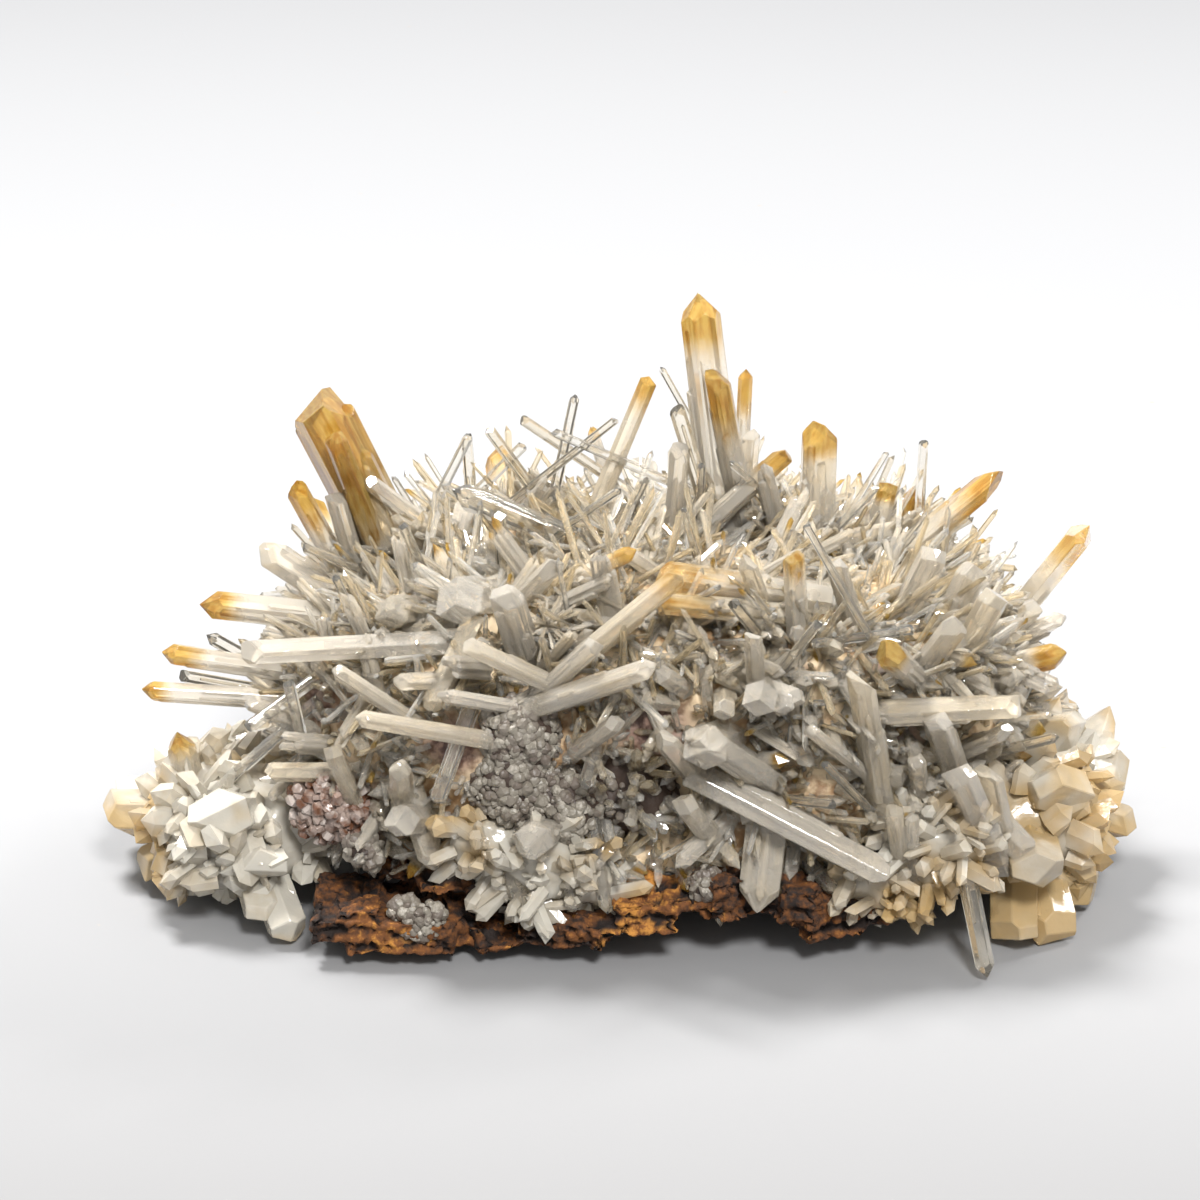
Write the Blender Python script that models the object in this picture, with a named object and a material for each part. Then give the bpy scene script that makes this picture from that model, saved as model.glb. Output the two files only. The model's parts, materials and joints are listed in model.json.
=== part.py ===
"""Mango quartz: a cluster of quartz crystals with yellow-orange tips on a rusty ironstone matrix."""

import math
import random
from collections import namedtuple
from functools import partial

import bmesh
import bpy
from mathutils import Matrix, Vector, noise

COLLECTION = "mango_quartz"
CUTTERS = "mango_quartz_cutters"

# Clearance between pieces that touch, and how deep a crystal's root is set in the quartz around it.
GAP = 0.0003
ROOM = GAP * 1.15
MERGE = 0.0000003
ROOT_SET = 0.0030

# The front view in which the crystals were read: its tilt, its distance and its focal length in
# pixels, aimed at a point VIEW_HEIGHT above the ground. A pixel is 0.1325 mm at that point.
VIEW_TILT = math.radians(22)
VIEW_DISTANCE = 0.5
VIEW_HEIGHT = 0.036
VIEW_FOCAL = 3774
VIEW_MIDDLE = 600

# The middle of the finished cluster, which the origin stands under.
MIDDLE_X = 0.0027
MIDDLE_Y = 0.0025

# A crystal is this much narrower at its tip than at its root.
TAPER = 0.92

# A quartz rhombohedron face leans this far from the crystal's long axis, as its normal.
RHOMB = math.radians(51.8)

# Rounded bodies: centre, half sizes, and how boxy they are (2 is an ellipsoid).
Blob = namedtuple("Blob", "centre half power")
BED = Blob(Vector((0.0070, 0.0010, 0.0200)), Vector((0.0505, 0.0340, 0.0255)), 3.0)
LEFT_MASS = Blob(Vector((-0.0470, -0.0110, 0.0095)), Vector((0.0115, 0.0155, 0.0085)), 2.4)
RIGHT_MASS = Blob(Vector((0.0550, -0.0080, 0.0120)), Vector((0.0105, 0.0180, 0.0105)), 2.4)
RIGHT_FOOT = Blob(Vector((0.0420, -0.0210, 0.0110)), Vector((0.0140, 0.0120, 0.0095)), 2.4)
MATRIX = Blob(Vector((-0.0010, -0.0020, 0.0090)), Vector((0.0400, 0.0315, 0.0100)), 4.5)

# One crystal: the node it belongs to, the pixels of its tip and of its foot in the front view, its
# width, how far its tip stands behind its foot (minus is in front), the form of its end, its
# thickness over its width, and the depth of its foot where the view doesn't show one.
Crystal = namedtuple(
    "Crystal", "node tip foot width lean form flat depth", defaults=("point", 1.0, None)
)

MANGO_CRYSTALS = (
    Crystal("mango_big_left", (310, 392), (366, 500), 0.0104, -0.0015, "broken", 0.8, 0.008),
    Crystal("mango_big_left", (333, 433), (356, 494), 0.0034, -0.0030, "rounded", 1.0, 0.003),
    Crystal("mango_second_left", (292, 482), (327, 545), 0.0040, -0.0020, "chisel", 0.8, 0.006),
    Crystal("mango_tall", (697, 288), (720, 478), 0.0058, 0.0000, "point", 1.0, 0.008),
    Crystal("mango_tall", (716, 372), (737, 484), 0.0046, -0.0020, "broken", 0.8, 0.006),
    Crystal("mango_tall_side", (746, 368), (742, 450), 0.0021, 0.0000, "point", 1.0, 0.0150),
    Crystal("mango_left_of_tall", (651, 375), (622, 445), 0.0029, 0.0010, "blunt", 1.0, 0.012),
    Crystal("mango_twin", (820, 420), (816, 520), 0.0056, -0.0010, "chisel", 0.8, 0.008),
    Crystal("mango_twin", (790, 450), (700, 532), 0.0037, -0.0010, "broken", 0.8, 0.004),
    Crystal("mango_leaf", (1004, 470), (893, 562), 0.0064, -0.0010, "chisel", 0.45, 0.006),
    Crystal("mango_right", (1091, 522), (1028, 600), 0.0044, -0.0010, "point", 0.9, 0.004),
    Crystal("mango_centre_right", (884, 650), (908, 672), 0.0044, -0.0075, "chisel", 0.9),
    Crystal("mango_right_tip", (1070, 652), (1008, 667), 0.0037, -0.0030, "point", 1.0, -0.011),
    Crystal("mango_left_upper", (197, 603), (280, 612), 0.0045, -0.0020, "point", 1.0, -0.009),
    Crystal("mango_left_middle", (159, 652), (233, 663), 0.0032, -0.0020, "point", 1.0, -0.008),
    Crystal("mango_left_lower", (139, 690), (200, 694), 0.0029, -0.0010, "point", 1.0, -0.011),
    Crystal("mango_low_left", (176, 728), (196, 800), 0.0040, 0.0000, "point", 1.0, -0.012),
    Crystal("mango_inner_left", (639, 549), (572, 580), 0.0024, -0.0020, "point"),
    Crystal("mango_diagonal", (682, 574), (582, 656), 0.0037, -0.0040, "chisel", 0.8),
    Crystal("mango_pair", (655, 574), (780, 592), 0.0050, -0.0020, "broken", 0.8),
    Crystal("mango_pair", (652, 602), (756, 612), 0.0036, -0.0025, "blunt", 0.9),
    Crystal("mango_stub", (793, 551), (797, 620), 0.0032, -0.0030, "blunt"),
    Crystal("mango_back_right", (890, 479), (880, 522), 0.0034, -0.0010, "blunt", 0.9, 0.013),
    Crystal("mango_back_right_small", (915, 484), (908, 520), 0.0026, 0.0000, "point", 1.0, 0.017),
)

MILKY_CRYSTALS = (
    Crystal("milky_long_left", (238, 653), (416, 644), 0.0046, -0.0030, "chisel", 0.75),
    Crystal("milky_short_left", (352, 717), (488, 740), 0.0027, -0.0055, "point"),
    Crystal("milky_grey_left", (261, 772), (330, 772), 0.0033, -0.0010, "blunt", 0.8),
    Crystal("milky_diagonal_left", (428, 712), (454, 660), 0.0029, -0.0050, "blunt", 0.8),
    Crystal("milky_centre", (467, 645), (558, 688), 0.0036, -0.0050, "broken", 0.7),
    Crystal("milky_centre", (655, 666), (537, 706), 0.0037, -0.0095, "rounded", 0.8),
    Crystal("milky_blade", (860, 676), (879, 795), 0.0046, -0.0050, "broken", 0.5),
    Crystal("milky_cross_right", (1024, 706), (896, 712), 0.0050, -0.0010, "broken", 0.6),
    Crystal("milky_front_diagonal", (890, 876), (735, 795), 0.0058, -0.0050, "broken", 0.7),
    Crystal("milky_block", (700, 750), (716, 742), 0.0068, -0.0080, "blunt", 0.9),
    Crystal("milky_hexagon", (758, 700), (764, 694), 0.0050, -0.0085, "blunt"),
    Crystal("milky_grey_end", (453, 601), (470, 600), 0.0072, -0.0075, "blunt", 0.9),
    Crystal("milky_dark_end", (388, 612), (402, 612), 0.0050, -0.0065, "rounded", 0.9),
    Crystal("milky_down_point", (756, 919), (764, 852), 0.0060, -0.0030, "point", 0.6),
    Crystal("milky_hex_right", (1036, 862), (977, 801), 0.0050, -0.0040, "blunt", 0.9),
    Crystal("milky_flat_right", (1068, 615), (1010, 641), 0.0050, 0.0010, "rounded", 0.5, -0.002),
    Crystal("milky_flat_left", (258, 545), (312, 580), 0.0058, 0.0000, "rounded", 0.6, 0.001),
    Crystal("milky_blunt_right", (937, 548), (910, 602), 0.0040, -0.0025, "blunt"),
    Crystal("milky_upper_right", (973, 564), (953, 610), 0.0037, -0.0020, "blunt"),
    Crystal("milky_tan_hexagon", (997, 592), (966, 650), 0.0041, -0.0060, "blunt"),
    Crystal("milky_facet", (437, 874), (420, 822), 0.0040, -0.0030, "point", 0.8),
    Crystal("milky_facet", (396, 822), (418, 818), 0.0050, -0.0070, "blunt", 0.9),
    Crystal("milky_cream_block", (529, 845), (540, 832), 0.0062, -0.0070, "broken", 0.8),
    Crystal("milky_small_middle", (673, 869), (706, 838), 0.0027, -0.0030, "point"),
)

CLEAR_CRYSTALS = (
    Crystal("clear_down_right", (988, 979), (973, 905), 0.0026, -0.0050, "point", 1.0, -0.035),
    Crystal("clear_down_left", (531, 928), (512, 876), 0.0029, -0.0030, "point"),
    Crystal("clear_upright_rod", (499, 511), (502, 560), 0.0019, -0.0020, "blunt"),
    Crystal("clear_middle_right", (839, 896), (814, 868), 0.0021, -0.0035, "point"),
)

# Crystals of the side that the front view doesn't show: the node, the tip in metres, the width,
# the form of the end and the thickness over the width. Each grows out from below the cluster's middle.
BackCrystal = namedtuple("BackCrystal", "node tip width form flat")
BACK_CRYSTALS = (
    BackCrystal("mango_rear_tall", (-0.014, 0.034, 0.046), 0.0052, "point", 0.9),
    BackCrystal("mango_rear_left", (-0.041, 0.033, 0.038), 0.0044, "chisel", 0.8),
    BackCrystal("mango_rear_low", (0.021, 0.0455, 0.030), 0.0040, "point", 1.0),
    BackCrystal("mango_rear_right", (0.048, 0.036, 0.034), 0.0046, "chisel", 0.8),
    BackCrystal("milky_rear_blade", (0.006, 0.0430, 0.040), 0.0058, "broken", 0.5),
    BackCrystal("milky_rear_left", (-0.030, 0.0425, 0.021), 0.0050, "blunt", 0.8),
    BackCrystal("milky_rear_right", (0.037, 0.0430, 0.016), 0.0054, "rounded", 0.7),
    BackCrystal("clear_rear_point", (-0.006, 0.0450, 0.022), 0.0030, "point", 1.0),
)

# Crystals too small to be pieces of their own, fused to the bed: pixels of tip and foot, width,
# lean and, where the foot is hidden, its depth.
Small = namedtuple("Small", "tip foot width lean depth", defaults=(None,))
SMALL_CRYSTALS = (
    Small((471, 432), (449, 476), 0.0016, 0.000, 0.014),
    Small((487, 427), (517, 468), 0.0019, 0.000, 0.012),
    Small((520, 418), (553, 440), 0.0018, -0.002, 0.016),
    Small((576, 393), (566, 440), 0.0018, 0.000, 0.014),
    Small((618, 418), (552, 470), 0.0015, -0.001, 0.011),
    Small((675, 404), (690, 452), 0.0026, 0.000, 0.006),
    Small((660, 366), (696, 430), 0.0012, 0.000, 0.013),
    Small((888, 451), (858, 500), 0.0012, 0.001, 0.012),
    Small((924, 439), (920, 500), 0.0016, 0.000, 0.014),
    Small((450, 490), (560, 535), 0.0042, -0.004),
    Small((466, 433), (470, 480), 0.0020, 0.000, 0.018),
    Small((302, 546), (340, 562), 0.0014, -0.002, -0.002),
    Small((334, 574), (352, 612), 0.0015, -0.003),
    Small((402, 523), (425, 575), 0.0015, -0.004),
    Small((178, 675), (250, 688), 0.0021, 0.000, -0.006),
    Small((205, 634), (256, 663), 0.0024, -0.001, -0.006),
    Small((288, 679), (300, 730), 0.0018, -0.002),
    Small((245, 730), (300, 690), 0.0020, -0.004, -0.018),
    Small((189, 815), (285, 730), 0.0020, -0.002, -0.018),
    Small((436, 804), (455, 752), 0.0024, -0.003),
    Small((584, 790), (600, 740), 0.0022, -0.003),
    Small((607, 916), (600, 868), 0.0020, -0.002),
    Small((575, 913), (566, 868), 0.0018, -0.002),
    Small((820, 621), (780, 671), 0.0015, -0.004),
    Small((763, 633), (722, 600), 0.0018, -0.004),
    Small((805, 523), (869, 635), 0.0014, -0.004),
    Small((811, 644), (868, 636), 0.0016, -0.004),
    Small((1061, 736), (1008, 749), 0.0018, -0.002),
    Small((966, 854), (922, 866), 0.0016, -0.003, -0.030),
    Small((836, 805), (794, 800), 0.0016, -0.005),
)
RANDOM_SMALL = 11
SMALL_LENGTH = (0.0050, 0.0125)
SMALL_WIDTH = (0.0012, 0.0026)
SMALL_WANDER = 0.55
SMALL_TRIES = 4000
LOWEST_SMALL_TIP = 0.004
LOWEST_SMALL_FOOT = 0.008
SMALL_REACH_Y = 0.0440
SMALL_REACH_X = (-0.058, 0.066)

# Blocky crystals of the two milky masses: pixel of the end, width, and depth of the end.
Block = namedtuple("Block", "tip width depth")
LEFT_BLOCKS = (
    Block((97, 812), 0.0090, -0.008),
    Block((112, 788), 0.0085, 0.000),
    Block((136, 868), 0.0085, -0.012),
    Block((170, 892), 0.0090, -0.018),
    Block((212, 900), 0.0095, -0.023),
    Block((262, 872), 0.0080, -0.029),
    Block((272, 928), 0.0075, -0.030),
    Block((293, 940), 0.0060, -0.031),
    Block((160, 760), 0.0090, -0.006),
    Block((215, 815), 0.0100, -0.028),
)
RIGHT_BLOCKS = (
    Block((1136, 765), 0.0085, -0.006),
    Block((1118, 722), 0.0075, 0.000),
    Block((1142, 828), 0.0070, -0.010),
    Block((1106, 866), 0.0085, -0.018),
    Block((1090, 905), 0.0080, -0.022),
    Block((1056, 942), 0.0080, -0.031),
    Block((1014, 948), 0.0075, -0.033),
    Block((1075, 712), 0.0080, -0.012),
    Block((1074, 790), 0.0095, -0.026),
    Block((1040, 880), 0.0085, -0.034),
)
BLOCK_REAR_COUNT = 4

# The hollow in the front face and the grey druse that lines it and climbs beside it.
HOLLOW_PIXEL = (622, 812)
HOLLOW_HALF = Vector((0.0100, 0.0070, 0.0070))
DRUSE_SPOTS = (
    ((520, 745), 0.0056, 0.0030),
    ((512, 790), 0.0060, 0.0032),
    ((562, 812), 0.0050, 0.0028),
    ((630, 812), 0.0072, 0.0075),
)
DRUSE_KNOBS = 9
KNOB_RADIUS = (0.0009, 0.0017)

# Which random choices each rounded body is made from.
BED_SEED = 9.0
FOOT_SEED = 2.0
ROCK_SEED = 4.0
LEFT_SEED = 50
RIGHT_SEED = 84

# The ironstone's box-like holes: pixel, width and height of each, on its front face.
Hole = namedtuple("Hole", "pixel width height")
ROCK_HOLES = (
    Hole((322, 884), 0.0052, 0.0018),
    Hole((318, 906), 0.0040, 0.0018),
    Hole((362, 872), 0.0036, 0.0026),
    Hole((398, 900), 0.0044, 0.0028),
    Hole((462, 905), 0.0040, 0.0022),
    Hole((500, 930), 0.0046, 0.0022),
)
HOLE_DEPTH = 0.012
REAR_LEDGES = 5
LEDGE_SIZE = ((0.008, 0.014), (0.010, 0.016), (0.003, 0.006))

# How high the middle of each ledge of the ironstone's front lies, from left to right.
LEDGE_LIFTS = (
    0.0050, 0.0036, 0.0040, 0.0034, 0.0038, 0.0052, 0.0068, 0.0080, 0.0095, 0.0085, 0.0062
)

# The arch that the matrix makes over the ground, a little right of its middle.
ARCH_X = 0.018
ARCH_LOW = 0.0045
ARCH_RADIUS = 0.030

# The bed's underside slopes from its left end to its right end.
UNDERSIDE_LEFT = Vector((-0.045, 0, 0.0140))
UNDERSIDE_RIGHT = Vector((0.055, 0, 0.0050))

# Boxes that stand for all that is below the ground or the underside are this wide and deep.
CUTTER_WIDTH = 0.3
CUTTER_DEPTH = 0.06

# Colour, roughness and how much light goes through, for each family of pieces.
Finish = namedtuple("Finish", "colour roughness transmission")
FINISHES = {
    "mango": Finish((0.62, 0.37, 0.10), 0.25, 0.3),
    "milky": Finish((0.66, 0.58, 0.47), 0.35, 0.3),
    "clear": Finish((0.85, 0.83, 0.78), 0.10, 0.9),
    "quartz_bed": Finish((0.55, 0.46, 0.35), 0.40, 0.0),
    "grey_druse": Finish((0.30, 0.27, 0.25), 0.55, 0.0),
    "ironstone_matrix": Finish((0.22, 0.09, 0.03), 0.90, 0.0),
}


def seen_at(pixel, depth):
    """The point that a pixel of the front view shows where it lies at this depth."""
    sine = math.sin(VIEW_TILT)
    cosine = math.cos(VIEW_TILT)
    rise = (VIEW_MIDDLE - pixel[1]) / VIEW_FOCAL
    height = (rise * (VIEW_DISTANCE + depth * cosine) - depth * sine) / (cosine + rise * sine)
    away = VIEW_DISTANCE + depth * cosine - height * sine
    return Vector(((pixel[0] - VIEW_MIDDLE) / VIEW_FOCAL * away, depth, height + VIEW_HEIGHT))


def fullness(blob, point):
    """Below 1 inside a blob, 1 on its surface and more outside."""
    offset = point - blob.centre
    return sum(abs(offset[i] / blob.half[i]) ** blob.power for i in range(3))


def in_quartz(point, level=1.0):
    return min(fullness(blob, point) for blob in (BED, LEFT_MASS, RIGHT_MASS, RIGHT_FOOT, MATRIX)) < level


def front_point(pixel):
    """The first point of the quartz that a pixel of the front view meets."""
    depth = -0.060
    while depth < 0.050:
        point = seen_at(pixel, depth)
        if in_quartz(point):
            return point
        depth += 0.0005
    raise ValueError(f"pixel {pixel} misses the quartz, so its crystal needs a depth")


def rooted(tip, foot):
    """Moves a foot back along its crystal until it is set in the quartz."""
    step = (foot - tip).normalized() * 0.0005
    for _ in range(80):
        if in_quartz(foot):
            return foot + step.normalized() * ROOT_SET
        foot = foot + step
    raise ValueError(f"the crystal with its tip at {tip} never meets the quartz")


def ends_of(row):
    """Tip and root of a crystal that was read in the front view."""
    foot = front_point(row.foot) if row.depth is None else seen_at(row.foot, row.depth)
    tip = seen_at(row.tip, foot.y + row.lean)
    return tip, rooted(tip, foot)


def end_faces(form, half, chance):
    """The planes that cut a crystal's end: bearing, lean of the normal, and drop below the tip."""
    sixths = [math.radians(30 + 60 * k) for k in range(6)]
    if form == "point":
        return [(a, RHOMB, half * chance.uniform(0.0, 0.30)) for a in sixths]
    if form == "chisel":
        drops = (0.0, -0.75, -0.45, 0.10, -0.70, -0.35)
        return [(a, RHOMB, half * (d + chance.uniform(0, 0.15))) for a, d in zip(sixths, drops)]
    if form == "blunt":
        sides = [(a, math.radians(40), half * chance.uniform(-0.15, 0.40)) for a in sixths[::2]]
        return sides + [(chance.uniform(0, 6), math.radians(12), half * 0.12)]
    if form == "rounded":
        outer = [(a, math.radians(58), half * chance.uniform(-0.45, -0.30)) for a in sixths[::2]]
        inner = [(a + 0.9, math.radians(28), half * chance.uniform(0.0, 0.10)) for a in sixths[::2]]
        return outer + inner
    bearings = [chance.uniform(0, math.tau) for _ in range(3)]
    leans = [math.radians(d) for d in (14, 40, 58)]
    drops = (half * 0.25, half * 0.15, half * -0.35)
    return list(zip(bearings, leans, drops))


def cut_off(mesh, point, normal):
    """Cuts away what lies past a plane, and closes the cut."""
    geometry = mesh.verts[:] + mesh.edges[:] + mesh.faces[:]
    cut = bmesh.ops.bisect_plane(
        mesh, geom=geometry, plane_co=point, plane_no=normal, clear_outer=True
    )
    rim = [item for item in cut["geom_cut"] if isinstance(item, bmesh.types.BMEdge)]
    if len(rim) > 2:
        bmesh.ops.contextual_create(mesh, geom=rim)


def axes_along(direction, roll):
    """A turn that takes +Z to a direction, rolled about it."""
    return direction.to_track_quat("Z", "Y").to_matrix().to_4x4() @ Matrix.Rotation(roll, 4, "Z")


def crystal_shape(tip, root, width, form="point", flat=1.0, seed=0, grow=0.0):
    """A six-sided crystal from root to tip, or with grow a plain prism around it that is larger."""
    chance = random.Random(seed)
    length = (tip - root).length
    half = width / 2
    reach = length + grow if grow else length + 2 * half
    mesh = bmesh.new()
    bmesh.ops.create_cone(
        mesh, cap_ends=True, segments=6, radius1=half, radius2=half * TAPER, depth=reach
    )
    bmesh.ops.translate(mesh, vec=(0, 0, reach / 2), verts=mesh.verts)
    for vertex in mesh.verts:
        vertex.co.x *= 1 + chance.uniform(-0.07, 0.07)
    roll = chance.uniform(-0.35, 0.35)
    spread = 1.2 * grow / half
    bmesh.ops.scale(mesh, vec=(1 + spread, flat + spread, 1), verts=mesh.verts)
    for vertex in mesh.verts:
        if vertex.co.z < half * 0.01:
            vertex.co.z -= grow
    faces = [] if grow else end_faces(form, half, chance)
    for bearing, lean, drop in faces:
        across = math.sin(lean)
        normal = Vector(
            (math.cos(bearing) * across, math.sin(bearing) * across / max(flat, 0.4), math.cos(lean))
        ).normalized()
        cut_off(mesh, Vector((0, 0, length - drop)), normal)
    bmesh.ops.recalc_face_normals(mesh, faces=mesh.faces)
    turn = Matrix.Translation(root) @ axes_along(tip - root, roll)
    bmesh.ops.transform(mesh, matrix=turn, verts=mesh.verts)
    return mesh


def small_shape(tip, root, width, roll, grow=0.0):
    """A small six-sided crystal with a plain six-faced point."""
    length = (tip - root).length
    half = width / 2 + grow
    point = half / math.tan(math.pi / 2 - RHOMB)
    mesh = bmesh.new()
    bmesh.ops.create_cone(
        mesh, cap_ends=True, segments=6, radius1=half, radius2=half * TAPER, depth=length - point
    )
    top = max(mesh.faces, key=lambda face: face.calc_center_median().z)
    bmesh.ops.poke(mesh, faces=[top], offset=point)
    bmesh.ops.translate(mesh, vec=(0, 0, (length - point) / 2), verts=mesh.verts)
    bmesh.ops.transform(
        mesh, matrix=Matrix.Translation(root) @ axes_along(tip - root, roll), verts=mesh.verts
    )
    return mesh


def block_shape(size, turn, centre, grow=0.0):
    """A turned box."""
    mesh = bmesh.new()
    bmesh.ops.create_cube(mesh, size=1.0)
    bmesh.ops.scale(mesh, vec=[side + 2 * grow for side in size], verts=mesh.verts)
    bmesh.ops.rotate(mesh, cent=(0, 0, 0), matrix=turn, verts=mesh.verts)
    bmesh.ops.translate(mesh, vec=centre, verts=mesh.verts)
    return mesh


def knob_shape(centre, radius, turn, grow=0.0):
    """A rounded knob with flat facets."""
    mesh = bmesh.new()
    bmesh.ops.create_icosphere(mesh, subdivisions=1, radius=radius + 1.3 * grow)
    bmesh.ops.rotate(mesh, cent=(0, 0, 0), matrix=turn, verts=mesh.verts)
    bmesh.ops.translate(mesh, vec=centre, verts=mesh.verts)
    return mesh


def blob_shape(blob, divisions, rough, scale, seed, grow=0.0):
    """A rounded body with an uneven surface, moved in or out along lines from its centre."""
    mesh = bmesh.new()
    bmesh.ops.create_icosphere(mesh, subdivisions=divisions, radius=1.0)
    for vertex in mesh.verts:
        ray = vertex.co.normalized()
        size = sum(abs(ray[i] / blob.half[i]) ** blob.power for i in range(3)) ** (-1 / blob.power)
        spot = blob.centre + ray * size
        size += rough * noise.noise((spot + Vector((seed, 0, 0))) / scale) + grow
        vertex.co = blob.centre + ray * size
    return mesh


def make_object(name, mesh, collection):
    data = bpy.data.meshes.new(name)
    mesh.to_mesh(data)
    mesh.free()
    piece = bpy.data.objects.new(name, data)
    collection.objects.link(piece)
    return piece


def make_cutter(name, mesh, cutters):
    """A helper shape, which takes no part in the finished object."""
    piece = make_object(name, mesh, cutters)
    piece.hide_render = True
    piece.display_type = "WIRE"
    return piece


def combine(piece, other, operation):
    change = piece.modifiers.new(operation.lower(), "BOOLEAN")
    change.operation = operation
    change.solver = "EXACT"
    if isinstance(other, bpy.types.Collection):
        change.operand_type = "COLLECTION"
        change.collection = other
    else:
        change.object = other


def settle(piece):
    """Applies the modifiers and keeps the largest body, without the chips that a cut leaves loose."""
    bpy.context.view_layer.update()
    result = bpy.data.meshes.new_from_object(
        piece.evaluated_get(bpy.context.evaluated_depsgraph_get())
    )
    piece.modifiers.clear()
    old = piece.data
    piece.data = result
    bpy.data.meshes.remove(old)
    mesh = bmesh.new()
    mesh.from_mesh(result)
    bmesh.ops.remove_doubles(mesh, verts=mesh.verts, dist=MERGE)
    bodies = split_bodies(mesh)
    largest = max(bodies, key=body_volume)
    spare = [face for body in bodies if body is not largest for face in body]
    bmesh.ops.delete(mesh, geom=spare, context="FACES")
    mesh.to_mesh(result)
    mesh.free()


def split_bodies(mesh):
    left = set(mesh.faces)
    bodies = []
    while left:
        queue = [left.pop()]
        body = []
        while queue:
            face = queue.pop()
            body.append(face)
            for edge in face.edges:
                for near in edge.link_faces:
                    if near in left:
                        left.remove(near)
                        queue.append(near)
        bodies.append(body)
    return bodies


def body_volume(body):
    total = 0.0
    for face in body:
        corners = [vertex.co for vertex in face.verts]
        for second, third in zip(corners[1:], corners[2:]):
            total += corners[0].dot(second.cross(third)) / 6
    return total


def new_collection(name):
    found = bpy.data.collections.new(name)
    bpy.context.scene.collection.children.link(found)
    return found


def finish_for(name):
    return FINISHES.get(name) or FINISHES[name.split("_")[0]]


def paint(piece):
    """A plain material in the piece's own colour."""
    finish = finish_for(piece.name)
    material = bpy.data.materials.new(f"{piece.name}_finish")
    material.use_nodes = True
    shader = material.node_tree.nodes["Principled BSDF"]
    shader.inputs["Base Color"].default_value = (*finish.colour, 1)
    shader.inputs["Roughness"].default_value = finish.roughness
    shader.inputs["Metallic"].default_value = 0
    shader.inputs["Transmission Weight"].default_value = finish.transmission
    shader.inputs["IOR"].default_value = 1.544
    material.diffuse_color = (*finish.colour, 1)
    piece.data.materials.clear()
    piece.data.materials.append(material)


def crystal_list():
    """Every large crystal as node, tip, root, width, form, flatness and seed."""
    found = []
    for number, row in enumerate(MANGO_CRYSTALS + MILKY_CRYSTALS + CLEAR_CRYSTALS):
        tip, root = ends_of(row)
        found.append((row.node, tip, root, row.width, row.form, row.flat, number))
    for number, row in enumerate(BACK_CRYSTALS):
        tip = Vector(row.tip)
        heart = Vector((tip.x * 0.72, tip.y * 0.30, tip.z * 0.45 + 0.004))
        root = rooted(tip, tip.lerp(heart, 0.1))
        found.append((row.node, tip, root, row.width, row.form, row.flat, 100 + number))
    return found


def build_body(name, shapes, parts, cutters):
    """Joins shapes into one piece, and makes the room that its neighbours leave for it."""
    joined = new_child(cutters, f"{name}_shapes")
    room = new_child(cutters, f"{name}_room")
    piece = make_object(name, shapes[0](), parts)
    make_cutter(f"{name}_room_0", shapes[0](grow=ROOM), room)
    for number, shape in enumerate(shapes[1:], 1):
        make_cutter(f"{name}_shape_{number}", shape(), joined)
        make_cutter(f"{name}_room_{number}", shape(grow=ROOM), room)
    if len(shapes) > 1:
        combine(piece, joined, "UNION")
    return piece, room


def make_large_crystals(parts, cutters, rows):
    """One solid for each node, and the room that it takes in the rest."""
    rooms = new_child(cutters, "crystal_rooms")
    for node in dict.fromkeys(row[0] for row in rows):
        shapes = [partial(crystal_shape, *row[1:]) for row in rows if row[0] == node]
        piece, room = build_body(node, shapes, parts, cutters)
        for taken in list(room.objects):
            rooms.objects.link(taken)
        if len(shapes) > 1:
            settle(piece)
    return rooms


def new_child(parent, name):
    found = bpy.data.collections.new(name)
    parent.children.link(found)
    return found


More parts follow.
